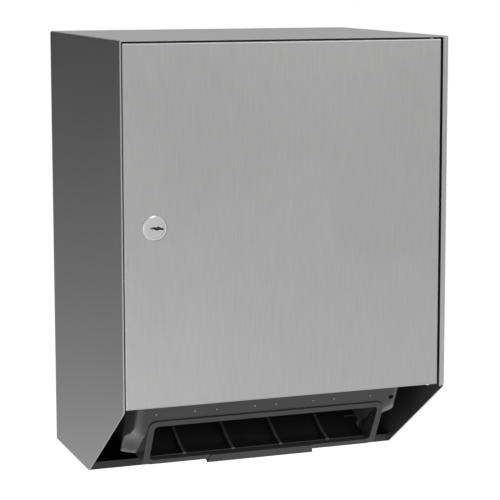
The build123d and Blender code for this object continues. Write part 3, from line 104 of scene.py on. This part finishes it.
def ramp(tree, source, stops):
    """A colour ramp over a socket; stops are (place, colour)."""
    node = add(tree, "ShaderNodeValToRGB")
    elements = node.color_ramp.elements
    while len(elements) < len(stops):
        elements.new(0.5)
    for element, (place, colour) in zip(elements, stops):
        element.position = place
        element.color = (*colour, 1.0)
    feed(tree, source, node.inputs[0])
    return node.outputs[0]


def object_point(tree, scale=(1.0, 1.0, 1.0)):
    """Object coordinates, in metres, stretched by scale."""
    coordinates = add(tree, "ShaderNodeTexCoord")
    mapping = add(tree, "ShaderNodeMapping")
    feed(tree, scale, mapping.inputs["Scale"])
    feed(tree, coordinates.outputs["Object"], mapping.inputs["Vector"])
    return mapping.outputs[0]


def across_of(tree, point):
    """The x of a point socket."""
    split = add(tree, "ShaderNodeSeparateXYZ")
    feed(tree, point, split.inputs[0])
    return split.outputs[0]


def noise(tree, point, scale, detail=2.0, roughness=0.5):
    """Noise over a point socket, from 0 to 1."""
    node = add(tree, "ShaderNodeTexNoise")
    feed(tree, point, node.inputs["Vector"])
    feed(tree, scale, node.inputs["Scale"])
    feed(tree, detail, node.inputs["Detail"])
    feed(tree, roughness, node.inputs["Roughness"])
    return node.outputs[0]


def bump(tree, shader, height, distance, strength):
    """A bump from a height socket, in metres at full height."""
    node = add(tree, "ShaderNodeBump")
    feed(tree, distance, node.inputs["Distance"])
    feed(tree, strength, node.inputs["Strength"])
    feed(tree, height, node.inputs["Height"])
    feed(tree, node.outputs[0], shader.inputs["Normal"])


def spread(tree, source, low, high):
    """A socket from 0 to 1 mapped to the range low to high."""
    node = add(tree, "ShaderNodeMapRange")
    feed(tree, low, node.inputs["To Min"])
    feed(tree, high, node.inputs["To Max"])
    feed(tree, source, node.inputs["Value"])
    return node.outputs[0]


def satin_steel(name, light, dark, rough):
    """Brushed stainless: streaks drawn up the upright faces and across the level ones.

    A face is level where its normal's z is steep. The sheen is drawn out across the grain,
    along the normal's cross product with the direction in which the grain runs.
    """
    material, tree, shader = new_material(name)
    drawn_up = object_point(tree, (1.0, 1.0, GRAIN_STRETCH))
    drawn_across = object_point(tree, (GRAIN_STRETCH, 1.0, 1.0))
    upright = noise(tree, drawn_up, GRAIN_PER_METRE, detail=3.0, roughness=0.6)
    level = noise(tree, drawn_across, GRAIN_PER_METRE, detail=3.0, roughness=0.6)
    normal = add(tree, "ShaderNodeNewGeometry").outputs["True Normal"]
    split = add(tree, "ShaderNodeSeparateXYZ")
    feed(tree, normal, split.inputs[0])
    is_level = math_node(tree, "GREATER_THAN", math_node(tree, "ABSOLUTE", split.outputs[2]), LEVEL_FROM)
    streak = mixed(tree, "FLOAT", is_level, upright, level)
    cloud_point = object_point(tree, (1.0, 1.0, 0.5))
    cloud = noise(tree, cloud_point, CLOUDS_PER_METRE, detail=3.0, roughness=0.55)
    streaks = math_node(tree, "MULTIPLY", streak, GRAIN_SHARE)
    clouds = math_node(tree, "MULTIPLY", cloud, 1.0 - GRAIN_SHARE)
    tone = math_node(tree, "ADD", streaks, clouds)
    run = mixed(tree, "VECTOR", is_level, ALONG_Z, ALONG_X)
    feed(tree, ramp(tree, tone, [(0.3, dark), (0.7, light)]), shader.inputs["Base Color"])
    feed(tree, spread(tree, tone, rough - 0.05, rough + 0.07), shader.inputs["Roughness"])
    feed(tree, 1.0, shader.inputs["Metallic"])
    feed(tree, STEEL_SATIN, shader.inputs["Anisotropic"])
    feed(tree, vector_node(tree, "CROSS_PRODUCT", normal, run)["Vector"], shader.inputs["Tangent"])
    bump(tree, shader, streak, GRAIN_DEPTH, 0.2)
    return material


def dress(material, *names):
    """Gives a material to CAD nodes."""
    for name in names:
        slots = nodes[name].data.materials
        slots.clear()
        slots.append(material)


dress(satin_steel("satin_stainless", STEEL_LIGHT, STEEL_DARK, STEEL_ROUGHNESS), "wrap_shell", "door")


# Back and floor: one folded sheet of steel, powder coated black with a fine orange peel,
# which bolts to the wall and carries the cheeks and the arm brackets. Its black is also
# painted shade, for the unlit inside of the cabinet.

# Black coat, which also paints the shade inside the cabinet.
BACK_BLACK_AND_SHADE = (0.018, 0.018, 0.019)
BACK_ROUGHNESS = 0.6
PEEL_PER_METRE = 700.0
PEEL_DEPTH = 0.00006
COAT_DRIFTS_PER_METRE = 18.0


def powder_coat(name, colour, rough):
    """Baked powder coat: a fine pebbled film over steel, slightly glossier on its crests."""
    material, tree, shader = new_material(name)
    peel = noise(tree, object_point(tree), PEEL_PER_METRE, detail=2.0, roughness=0.45)
    across = object_point(tree, (0.7, 1.0, 1.0))
    drift = noise(tree, across, COAT_DRIFTS_PER_METRE, detail=3.0, roughness=0.5)
    low = tuple(0.8 * c for c in colour)
    feed(tree, ramp(tree, drift, [(0.3, low), (0.7, colour)]), shader.inputs["Base Color"])
    feed(tree, spread(tree, peel, rough + 0.08, rough - 0.06), shader.inputs["Roughness"])
    bump(tree, shader, peel, PEEL_DEPTH, 0.5)
    return material


dress(powder_coat("black_coat_and_painted_shade", BACK_BLACK_AND_SHADE, BACK_ROUGHNESS), "back_panel")


# Hinges, strike, shafts, pins and screws: turned, blanked or folded mild steel with
# a bright zinc plating, slightly cloudy where it was handled and dipped.

ZINC_LIGHT = (0.66, 0.66, 0.65)
ZINC_DARK = (0.50, 0.51, 0.52)
ZINC_ROUGHNESS = 0.32
CRYSTALS_PER_METRE = 120.0
SCRATCHES_PER_METRE = 2500.0
SCRATCH_DEPTH = 0.00002


def zinc(name, light, dark, rough):
    """Plated steel: a cloudy crystalline tone with fine scratches."""
    material, tree, shader = new_material(name)
    cloud = noise(tree, object_point(tree), CRYSTALS_PER_METRE, detail=5.0, roughness=0.65)
    handled = object_point(tree, (1.0, 0.1, 0.6))
    scratch = noise(tree, handled, SCRATCHES_PER_METRE, detail=2.0, roughness=0.5)
    feed(tree, ramp(tree, cloud, [(0.35, dark), (0.65, light)]), shader.inputs["Base Color"])
    feed(tree, spread(tree, cloud, rough - 0.06, rough + 0.1), shader.inputs["Roughness"])
    feed(tree, 1.0, shader.inputs["Metallic"])
    bump(tree, shader, scratch, SCRATCH_DEPTH, 0.4)
    return material


dress(
    zinc("zinc_plate", ZINC_LIGHT, ZINC_DARK, ZINC_ROUGHNESS),
    "hinge_bracket_upper", "hinge_bracket_lower", "hinge_pin_upper", "hinge_pin_lower",
    "lock_strike", "lock_nut", "lock_cam", "cam_nut", "rear_beam", "drum_shaft", "knife_rod",
    "rocker_rod", "pinch_shaft", "gear_stubs", "arm_bracket_left", "arm_bracket_right",
    "arm_pin_left", "arm_pin_right", "hub_pin_left", "hub_pin_right", "beam_screws",
    "bracket_screws", "cam_screws", "cheek_screws", "cover_screws", "tray_screws",
)


# Lock: a die-cast housing, nickel-chrome plated and bright, with a turned plug that it
# guides. Both faces show fine turning rings round the lock's axis.

LOCK_CENTRE = (-0.125, 0.041)
HOUSING_LIGHT = (0.56, 0.56, 0.56)
HOUSING_DARK = (0.48, 0.48, 0.48)
HOUSING_ROUGHNESS = 0.17
PLUG_LIGHT = (0.47, 0.47, 0.465)
PLUG_DARK = (0.39, 0.39, 0.385)
PLUG_ROUGHNESS = 0.3
RINGS_PER_METRE = 4000.0
RING_DEPTH = 0.00001


def lathe_metal(name, light, dark, rough, centre):
    """Turned and plated metal: rings about an axis along y through centre, in metres."""
    material, tree, shader = new_material(name)
    coordinates = add(tree, "ShaderNodeTexCoord")
    mapping = add(tree, "ShaderNodeMapping")
    feed(tree, (-centre[0], 0.0, -centre[1]), mapping.inputs["Location"])
    feed(tree, (1.0, 0.0, 1.0), mapping.inputs["Scale"])
    feed(tree, coordinates.outputs["Object"], mapping.inputs["Vector"])
    radius = vector_node(tree, "LENGTH", mapping.outputs[0])["Value"]
    rings = add(tree, "ShaderNodeTexNoise", noise_dimensions="1D")
    feed(tree, RINGS_PER_METRE, rings.inputs["Scale"])
    feed(tree, radius, rings.inputs["W"])
    tone = rings.outputs[0]
    feed(tree, ramp(tree, tone, [(0.35, dark), (0.65, light)]), shader.inputs["Base Color"])
    feed(tree, spread(tree, tone, rough - 0.04, rough + 0.06), shader.inputs["Roughness"])
    feed(tree, 1.0, shader.inputs["Metallic"])
    bump(tree, shader, tone, RING_DEPTH, 0.4)
    return material


housing_metal = lathe_metal("lock_housing", HOUSING_LIGHT, HOUSING_DARK, HOUSING_ROUGHNESS, LOCK_CENTRE)
plug_metal = lathe_metal("lock_plug_face", PLUG_LIGHT, PLUG_DARK, PLUG_ROUGHNESS, LOCK_CENTRE)
dress(housing_metal, "lock_body")
dress(plug_metal, "lock_plug")


# Keyway: the mouth broached in the plug for a wafer key, with a ward that bends it.
# It is drawn as a thin black blade of painted shade just in front of the plug's face, and turns with it.

DOOR_FACE = -0.2475
PLUG_PROUD = 0.0013
KEYWAY_AHEAD = 0.0001
KEYWAY_CENTRE = (-0.1214, 0.0407)
KEYWAY_LENGTH = 0.0084
KEYWAY_WIDTH = 0.0033
KEYWAY_DEPTH = 0.0002
KEYWAY_STEPS = 80
# Painted shade for the keyway's slot.
KEYWAY_SHADE = (0.006, 0.006, 0.006)
SAME_POINT = 1e-7


def keyway(centre, face, length, width):
    """A thin blade, drawn as four rings round its outline from its front to its back.

    Along the blade, from -1 to 1, the middle line rises in a bell curve. The half thickness is
    a bell curve with a small lobe at the right, rounded off to nothing at both ends. The first
    and last rings shrink onto the middle line and so close the two faces.
    """
    turn = np.linspace(0.0, 2.0 * np.pi, KEYWAY_STEPS, endpoint=False)
    along = np.cos(turn)
    middle = width * (0.25 * np.exp(-(((along + 0.1) / 0.5) ** 2)) - 0.12)
    lobe = 0.1 * np.exp(-(((along - 0.75) / 0.2) ** 2))
    swell = 0.55 + 0.45 * np.exp(-(((along + 0.25) / 0.45) ** 2)) + lobe
    half = 0.5 * width * np.sqrt(np.clip(1.0 - along**6, 0.0, 1.0)) * swell
    shrink = np.array([[0.0], [1.0], [1.0], [0.0]])
    depth = np.array([[0.0], [0.0], [KEYWAY_DEPTH], [KEYWAY_DEPTH]])
    x = centre[0] + 0.5 * length * along + 0.0 * shrink
    y = face + depth + 0.0 * along
    z = centre[1] + middle + shrink * np.sign(np.sin(turn)) * half
    points = np.stack([x, y, z], axis=-1).reshape(-1, 3)
    ring, step = np.meshgrid(np.arange(3), np.arange(turn.size), indexing="ij")
    here = ring * turn.size + step
    beside = ring * turn.size + (step + 1) % turn.size
    quads = np.stack([here, here + turn.size, beside + turn.size, beside], axis=-1).reshape(-1, 4)
    mesh = bpy.data.meshes.new("keyway")
    mesh.from_pydata(points.tolist(), [], quads.tolist())
    merged = bmesh.new()
    merged.from_mesh(mesh)
    bmesh.ops.remove_doubles(merged, verts=merged.verts, dist=SAME_POINT)
    merged.to_mesh(mesh)
    merged.free()
    piece = bpy.data.objects.new("keyway", mesh)
    bpy.context.collection.objects.link(piece)
    return piece


key_face = DOOR_FACE - PLUG_PROUD - KEYWAY_AHEAD
mouth_of_key = keyway(KEYWAY_CENTRE, key_face, KEYWAY_LENGTH, KEYWAY_WIDTH)
mouth_of_key.data.materials.append(powder_coat("keyway_shadow", KEYWAY_SHADE, 0.7))
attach(mouth_of_key, "latch")


# Front cover of the towel module: an injection moulding of smoke-tinted ABS, slightly
# glossy, from a spark-eroded mould. One screw a side holds it to the cheeks, and a row of
# small moulded dots stands on its face above the towel's mouth. Its flanks are painted
# paler with painted light, and its dots carry a painted highlight.

SMOKE = (0.046, 0.046, 0.048)
# Painted light on the cover's flanks.
SMOKE_FLANK_LIGHT = (0.15, 0.15, 0.153)
# Painted highlight on the moulded dots.
SMOKE_DOT_HIGHLIGHT = (0.42, 0.42, 0.42)
SMOKE_ROUGHNESS = 0.3
SMOKE_GLOSS = 0.36
SMOKE_GRAIN_DEPTH = 0.00003
FLANK_FROM = 0.121
FLANK_TO = 0.1296
FACE_ANGLE = math.radians(61.3)
FACE_OUTWARD = (0.0, -math.sin(FACE_ANGLE), -math.cos(FACE_ANGLE))
FACE_UPWARD = (0.0, -math.cos(FACE_ANGLE), math.sin(FACE_ANGLE))
DOT_ROW = (0.0, -0.20146, -0.13608)
DOT_PROUD = 0.0002
DOT_REACH = 0.0012
MOULD_GRAIN_DEPTH = 0.00004
MOULD_GRAINS_PER_METRE = 900.0
FLOW_MARKS_PER_METRE = 22.0
FINE_SHARE = 0.4


def moulding(name, colour, rough, grain=MOULD_GRAIN_DEPTH, gloss=0.5, cells=MOULD_GRAINS_PER_METRE):
    """Moulded plastic: fine grain, slow tone drift and faint flow marks."""
    material, tree, shader = new_material(name)
    fine = noise(tree, object_point(tree), cells, detail=4.0, roughness=0.6)
    flow = object_point(tree, (1.0, 0.6, 1.4))
    drift = noise(tree, flow, FLOW_MARKS_PER_METRE, detail=3.0, roughness=0.5)
    low = tuple(0.86 * c for c in colour)
    high = tuple(min(1.12 * c, 1.0) for c in colour)
    fine_part = math_node(tree, "MULTIPLY", fine, FINE_SHARE)
    drift_part = math_node(tree, "MULTIPLY", drift, 1.0 - FINE_SHARE)
    tone = math_node(tree, "ADD", fine_part, drift_part)
    feed(tree, ramp(tree, tone, [(0.35, low), (0.65, high)]), shader.inputs["Base Color"])
    feed(tree, spread(tree, tone, rough - 0.05, rough + 0.08), shader.inputs["Roughness"])
    feed(tree, gloss, shader.inputs["Specular IOR Level"])
    bump(tree, shader, fine, grain, 0.5)
    return material


def tint_where(tree, where, colour):
    """Lays a colour over a material's own colour where a socket is 1."""
    base = tree.nodes["Principled BSDF"].inputs["Base Color"]
    feed(tree, mixed(tree, "RGBA", where, base.links[0].from_socket, (*colour, 1.0)), base)


def smoked(name, colour, flank_light_colour, dot_highlight_colour):
    """Smoke-tinted moulding, with painted light on its flanks and a painted highlight on its row of
    dots.

    The painted light pales the flanks smoothly with the distance from the middle. A point is on a dot
    where it stands proud of the face and lies near the row, up or down the face's slope.
    """
    material = moulding(name, colour, SMOKE_ROUGHNESS, grain=SMOKE_GRAIN_DEPTH, gloss=SMOKE_GLOSS)
    tree = material.node_tree
    point = object_point(tree)
    flank_light_mask = add(tree, "ShaderNodeMapRange", interpolation_type="SMOOTHSTEP")
    feed(tree, FLANK_FROM, flank_light_mask.inputs["From Min"])
    feed(tree, FLANK_TO, flank_light_mask.inputs["From Max"])
    feed(tree, math_node(tree, "ABSOLUTE", across_of(tree, point)), flank_light_mask.inputs["Value"])
    # Painted light: the flanks pale towards their outer edges.
    tint_where(tree, flank_light_mask.outputs[0], flank_light_colour)
    from_row = vector_node(tree, "SUBTRACT", point, DOT_ROW)["Vector"]
    height = vector_node(tree, "DOT_PRODUCT", from_row, FACE_OUTWARD)["Value"]
    rise = vector_node(tree, "DOT_PRODUCT", from_row, FACE_UPWARD)["Value"]
    proud = math_node(tree, "GREATER_THAN", height, DOT_PROUD)
    near = math_node(tree, "LESS_THAN", math_node(tree, "ABSOLUTE", rise), DOT_REACH)
    # Painted highlight on the dots that stand proud of the face.
    tint_where(tree, math_node(tree, "MULTIPLY", proud, near), dot_highlight_colour)
    return material


dress(smoked("smoke_cover", SMOKE, SMOKE_FLANK_LIGHT, SMOKE_DOT_HIGHLIGHT), "front_cover")


# Rocker, gear cover, roll arms and hubs: black ABS mouldings, matt. The moving ones turn
# on steel rods and pins, and the gear cover is a cap over the gears on the right cheek.

ABS_BLACK = (0.022, 0.022, 0.024)
ABS_ROUGHNESS = 0.5

dress(
    moulding("black_abs", ABS_BLACK, ABS_ROUGHNESS),
    "rocker", "gear_cover", "roll_arm_left", "roll_arm_right", "roll_hub_left", "roll_hub_right",
)


# Tray: the same black plastic, screwed between the cheeks. The crests of its chute ribs
# carry a painted highlight, paler along each rib's edge.

# Painted highlight along the rib crests.
RIB_CREST_HIGHLIGHT = (0.10, 0.10, 0.104)
RIB_FIRST = -0.075
RIB_PITCH = 0.048
CREST_HALF_WIDTH = 0.0014
TRAY_ROUGHNESS = 0.42


def ribbed(name, colour, crest_highlight_colour):
    """Black moulding with a painted highlight within half a crest's width of each rib's middle along x.
    """
    material = moulding(name, colour, TRAY_ROUGHNESS)
    tree = material.node_tree
    from_first = math_node(tree, "SUBTRACT", across_of(tree, object_point(tree)), RIB_FIRST)
    away = math_node(tree, "PINGPONG", from_first, RIB_PITCH / 2)
    # Painted highlight on the rib crests.
    tint_where(tree, math_node(tree, "LESS_THAN", away, CREST_HALF_WIDTH), crest_highlight_colour)
    return material


dress(ribbed("ribbed_tray", ABS_BLACK, RIB_CREST_HIGHLIGHT), "tray")


# Cheeks and drum: mouldings of grey ABS. The cheeks screw to the back and hold the
# shafts. Two ends close the drum's tube, and the knife's holder swings between them.

ABS_GREY = (0.10, 0.10, 0.105)
GREY_ROUGHNESS = 0.45

dress(
    moulding("grey_abs", ABS_GREY, GREY_ROUGHNESS),
    "cheek_left", "cheek_right", "drum_shell", "drum_end_left", "drum_end_right", "knife_holder",
)


# Controls: the feed wheel, on its gear's square neck, and the release lever, on the
# rocker's rod, are moulded in green so that the attendant finds them.

CONTROL_GREEN = (0.03, 0.20, 0.085)
CONTROL_ROUGHNESS = 0.42

dress(moulding("green_controls", CONTROL_GREEN, CONTROL_ROUGHNESS), "feed_wheel", "release_lever")


# Gears, cam and follower: moulded in natural acetal, waxy and nearly smooth, so that
# they run dry on steel. The gears turn at the right cheek, and the cam is screwed to the
# left one.

ACETAL_CREAM = (0.72, 0.70, 0.64)
ACETAL_ROUGHNESS = 0.38
ACETAL_GRAIN_DEPTH = 0.00001
ACETAL_GRAINS_PER_METRE = 300.0

acetal = moulding(
    "acetal", ACETAL_CREAM, ACETAL_ROUGHNESS, grain=ACETAL_GRAIN_DEPTH, gloss=0.45,
    cells=ACETAL_GRAINS_PER_METRE,
)
dress(acetal, "drum_gear", "feed_gear", "damper_gear", "knife_cam", "cam_follower")


# Grip bands and pinch rollers: black nitrile rubber, stretched over the drum or bonded
# to the shaft and ground to size, which leaves them dull.

RUBBER_BLACK = (0.035, 0.034, 0.033)
RUBBER_ROUGHNESS = 0.78
RUBBER_GRAIN_DEPTH = 0.00006
RUBBER_GRAINS_PER_METRE = 700.0

ground_rubber = moulding(
    "ground_rubber", RUBBER_BLACK, RUBBER_ROUGHNESS, grain=RUBBER_GRAIN_DEPTH, gloss=0.3,
    cells=RUBBER_GRAINS_PER_METRE,
)
dress(ground_rubber, "drum_grips", "pinch_rollers")


# Knife blade: a serrated strip of spring steel, blanked and ground, held on the knife's
# holder along the drum.

BLADE_LIGHT = (0.72, 0.72, 0.72)
BLADE_DARK = (0.56, 0.56, 0.56)
BLADE_ROUGHNESS = 0.25

dress(zinc("ground_blade", BLADE_LIGHT, BLADE_DARK, BLADE_ROUGHNESS), "knife_blade")


# Bushes: plain sleeves of sintered bronze, soaked in oil and pressed into the cheeks,
# in which the drum's shaft runs.

BRONZE_LIGHT = (0.50, 0.33, 0.15)
BRONZE_DARK = (0.36, 0.22, 0.10)
BRONZE_ROUGHNESS = 0.5

dress(zinc("sintered_bronze", BRONZE_LIGHT, BRONZE_DARK, BRONZE_ROUGHNESS), "drum_bushings")


# Studio floor: a white sheet well below the dispenser, which hangs free as on its wall.
# Its own colour makes it white, and it keeps the shadow.

FLOOR_LEVEL = -0.62
FLOOR_HALF_SIZE = 8.0
FLOOR_WHITE = (0.80, 0.80, 0.80)
FLOOR_GLOW = 0.70
SPECKS_PER_METRE = 40.0


def seen_or_mirrored(tree):
    """A socket that is 1 for camera rays and for mirrored or refracted ones."""
    path = add(tree, "ShaderNodeLightPath").outputs
    mirrored = math_node(tree, "MAXIMUM", path["Is Glossy Ray"], path["Is Transmission Ray"])
    return math_node(tree, "MAXIMUM", path["Is Camera Ray"], mirrored)


def stage_sheet(name, half_x, half_y, place, turn, colour, glow):
    """A flat sheet of the set with a faint speckle, which glows for seen and mirrored rays."""
    mesh = bpy.data.meshes.new(name)
    corners = np.array([(-1, -1, 0), (1, -1, 0), (1, 1, 0), (-1, 1, 0)]) * (half_x, half_y, 1)
    mesh.from_pydata(corners.tolist(), [], [(0, 1, 2, 3)])
    sheet = bpy.data.objects.new(name, mesh)
    sheet.location = place
    sheet.rotation_euler = turn
    bpy.context.collection.objects.link(sheet)
    material, tree, shader = new_material(name)
    speck = noise(tree, object_point(tree), SPECKS_PER_METRE, detail=3.0)
    low = tuple(0.985 * c for c in colour)
    feed(tree, ramp(tree, speck, [(0.3, low), (0.7, colour)]), shader.inputs["Base Color"])
    feed(tree, 0.9, shader.inputs["Roughness"])
    feed(tree, (1.0, 1.0, 1.0, 1.0), shader.inputs["Emission Color"])
    strength = math_node(tree, "MULTIPLY", seen_or_mirrored(tree), glow)
    feed(tree, strength, shader.inputs["Emission Strength"])
    mesh.materials.append(material)
    return sheet


stage_sheet(
    "floor", FLOOR_HALF_SIZE, FLOOR_HALF_SIZE, place=(0.0, 0.0, FLOOR_LEVEL), turn=(0.0, 0.0, 0.0),
    colour=FLOOR_WHITE, glow=FLOOR_GLOW,
)


# Cards: two graded cards that only mirrored rays meet. The flag stands behind the left
# side, which mirrors it, pale at the foot and dark at the top. The back card stands
# behind the top, and greys it.

CARD_BLACK = (0.02, 0.02, 0.02)
FLAG_HALF_SIZE = 0.8
FLAG_PLACE = (-0.97, 0.78, 0.19)
FLAG_TURN = 0.3
FLAG_GLOW = [(0.04, 0.74), (0.12, 0.48), (0.25, 0.27), (0.4, 0.12), (0.56, 0.01)]
BACK_CARD_HALF_WIDTH = 1.6
BACK_CARD_HALF_HEIGHT = 0.8
BACK_CARD_PLACE = (1.2, 1.7, 1.02)
BACK_CARD_GLOW = [(0.0, 0.62), (1.0, 0.5)]


def graded_card(name, half_x, half_y, place, turn, stops):
    """An upright card turned about z; its stops are (height from foot to top, glow)."""
    card = stage_sheet(name, half_x, half_y, place, (math.pi / 2, 0.0, turn), CARD_BLACK, 0.0)
    card.visible_camera = False
    card.visible_diffuse = False
    card.visible_shadow = False
    tree = card.data.materials[0].node_tree
    split = add(tree, "ShaderNodeSeparateXYZ")
    feed(tree, object_point(tree, (1.0, 1.0 / half_y, 1.0)), split.inputs[0])
    height = math_node(tree, "MULTIPLY_ADD", split.outputs[1], 0.5, 0.5)
    glow = ramp(tree, height, [(level, (strength,) * 3) for level, strength in stops])
    feed(tree, glow, tree.nodes["Principled BSDF"].inputs["Emission Strength"])


graded_card("flag", FLAG_HALF_SIZE, FLAG_HALF_SIZE, FLAG_PLACE, FLAG_TURN, FLAG_GLOW)
graded_card(
    "back_card", BACK_CARD_HALF_WIDTH, BACK_CARD_HALF_HEIGHT, BACK_CARD_PLACE, 0.0, BACK_CARD_GLOW,
)


# Surroundings: a grey room for diffuse light, which the camera and mirrored rays
# see as white.

ROOM_GREY = (0.36, 0.36, 0.365, 1.0)
ROOM_WHITE = (1.0, 1.0, 1.0, 1.0)

world = bpy.data.worlds.new("studio")
world.use_nodes = True
bpy.context.scene.world = world
room = world.node_tree
room_shade = mixed(room, "RGBA", seen_or_mirrored(room), ROOM_GREY, ROOM_WHITE)
feed(room, room_shade, room.nodes["Background"].inputs[0])


# Lamps: four soft boxes, from the front right, from above, from the left, and a weak
# strip from below that lifts the slope under the door.

def soft_lamp(name, place, aim, width, height, power):
    """A rectangular soft lamp that looks at a point."""
    data = bpy.data.lights.new(name, "AREA")
    data.shape = "RECTANGLE"
    data.size = width
    data.size_y = height
    data.energy = power
    lamp = bpy.data.objects.new(name, data)
    lamp.location = place
    lamp.rotation_euler = (Vector(aim) - Vector(place)).to_track_quat("-Z", "Y").to_euler()
    bpy.context.collection.objects.link(lamp)


soft_lamp("key", place=(1.2, -2.6, 1.3), aim=(0.0, -0.1, 0.0), width=1.6, height=1.6, power=22.0)
soft_lamp("top", place=(-0.2, -0.3, 2.2), aim=(0.0, -0.1, 0.0), width=1.6, height=1.2, power=9.0)
soft_lamp("left", place=(-2.4, -0.9, 0.2), aim=(0.0, -0.1, -0.1), width=1.2, height=1.6, power=2.0)
soft_lamp("low", place=(-0.5, -1.9, -0.5), aim=(0.0, -0.2, -0.16), width=0.9, height=0.25, power=2.5)


# Camera: a long lens from the front left and a little above, looking slightly down, as
# the corners and edges of the cabinet were fitted.

CAMERA_PLACE = (-0.5769, -1.7459, 0.2663)
CAMERA_LOOKS_DOWN = 0.1331
CAMERA_LOOKS_RIGHT = 0.3572

camera_data = bpy.data.cameras.new("camera")
camera = bpy.data.objects.new("camera", camera_data)
bpy.context.collection.objects.link(camera)
camera.location = CAMERA_PLACE
camera.rotation_euler = (math.pi / 2 - CAMERA_LOOKS_DOWN, 0.0, -CAMERA_LOOKS_RIGHT)
camera_data.sensor_width = 36.0
camera_data.lens = 130.98
camera_data.shift_x = -0.0414
camera_data.shift_y = -0.08
camera_data.clip_start = 0.01
bpy.context.scene.camera = camera
bpy.context.scene.view_settings.view_transform = "Standard"
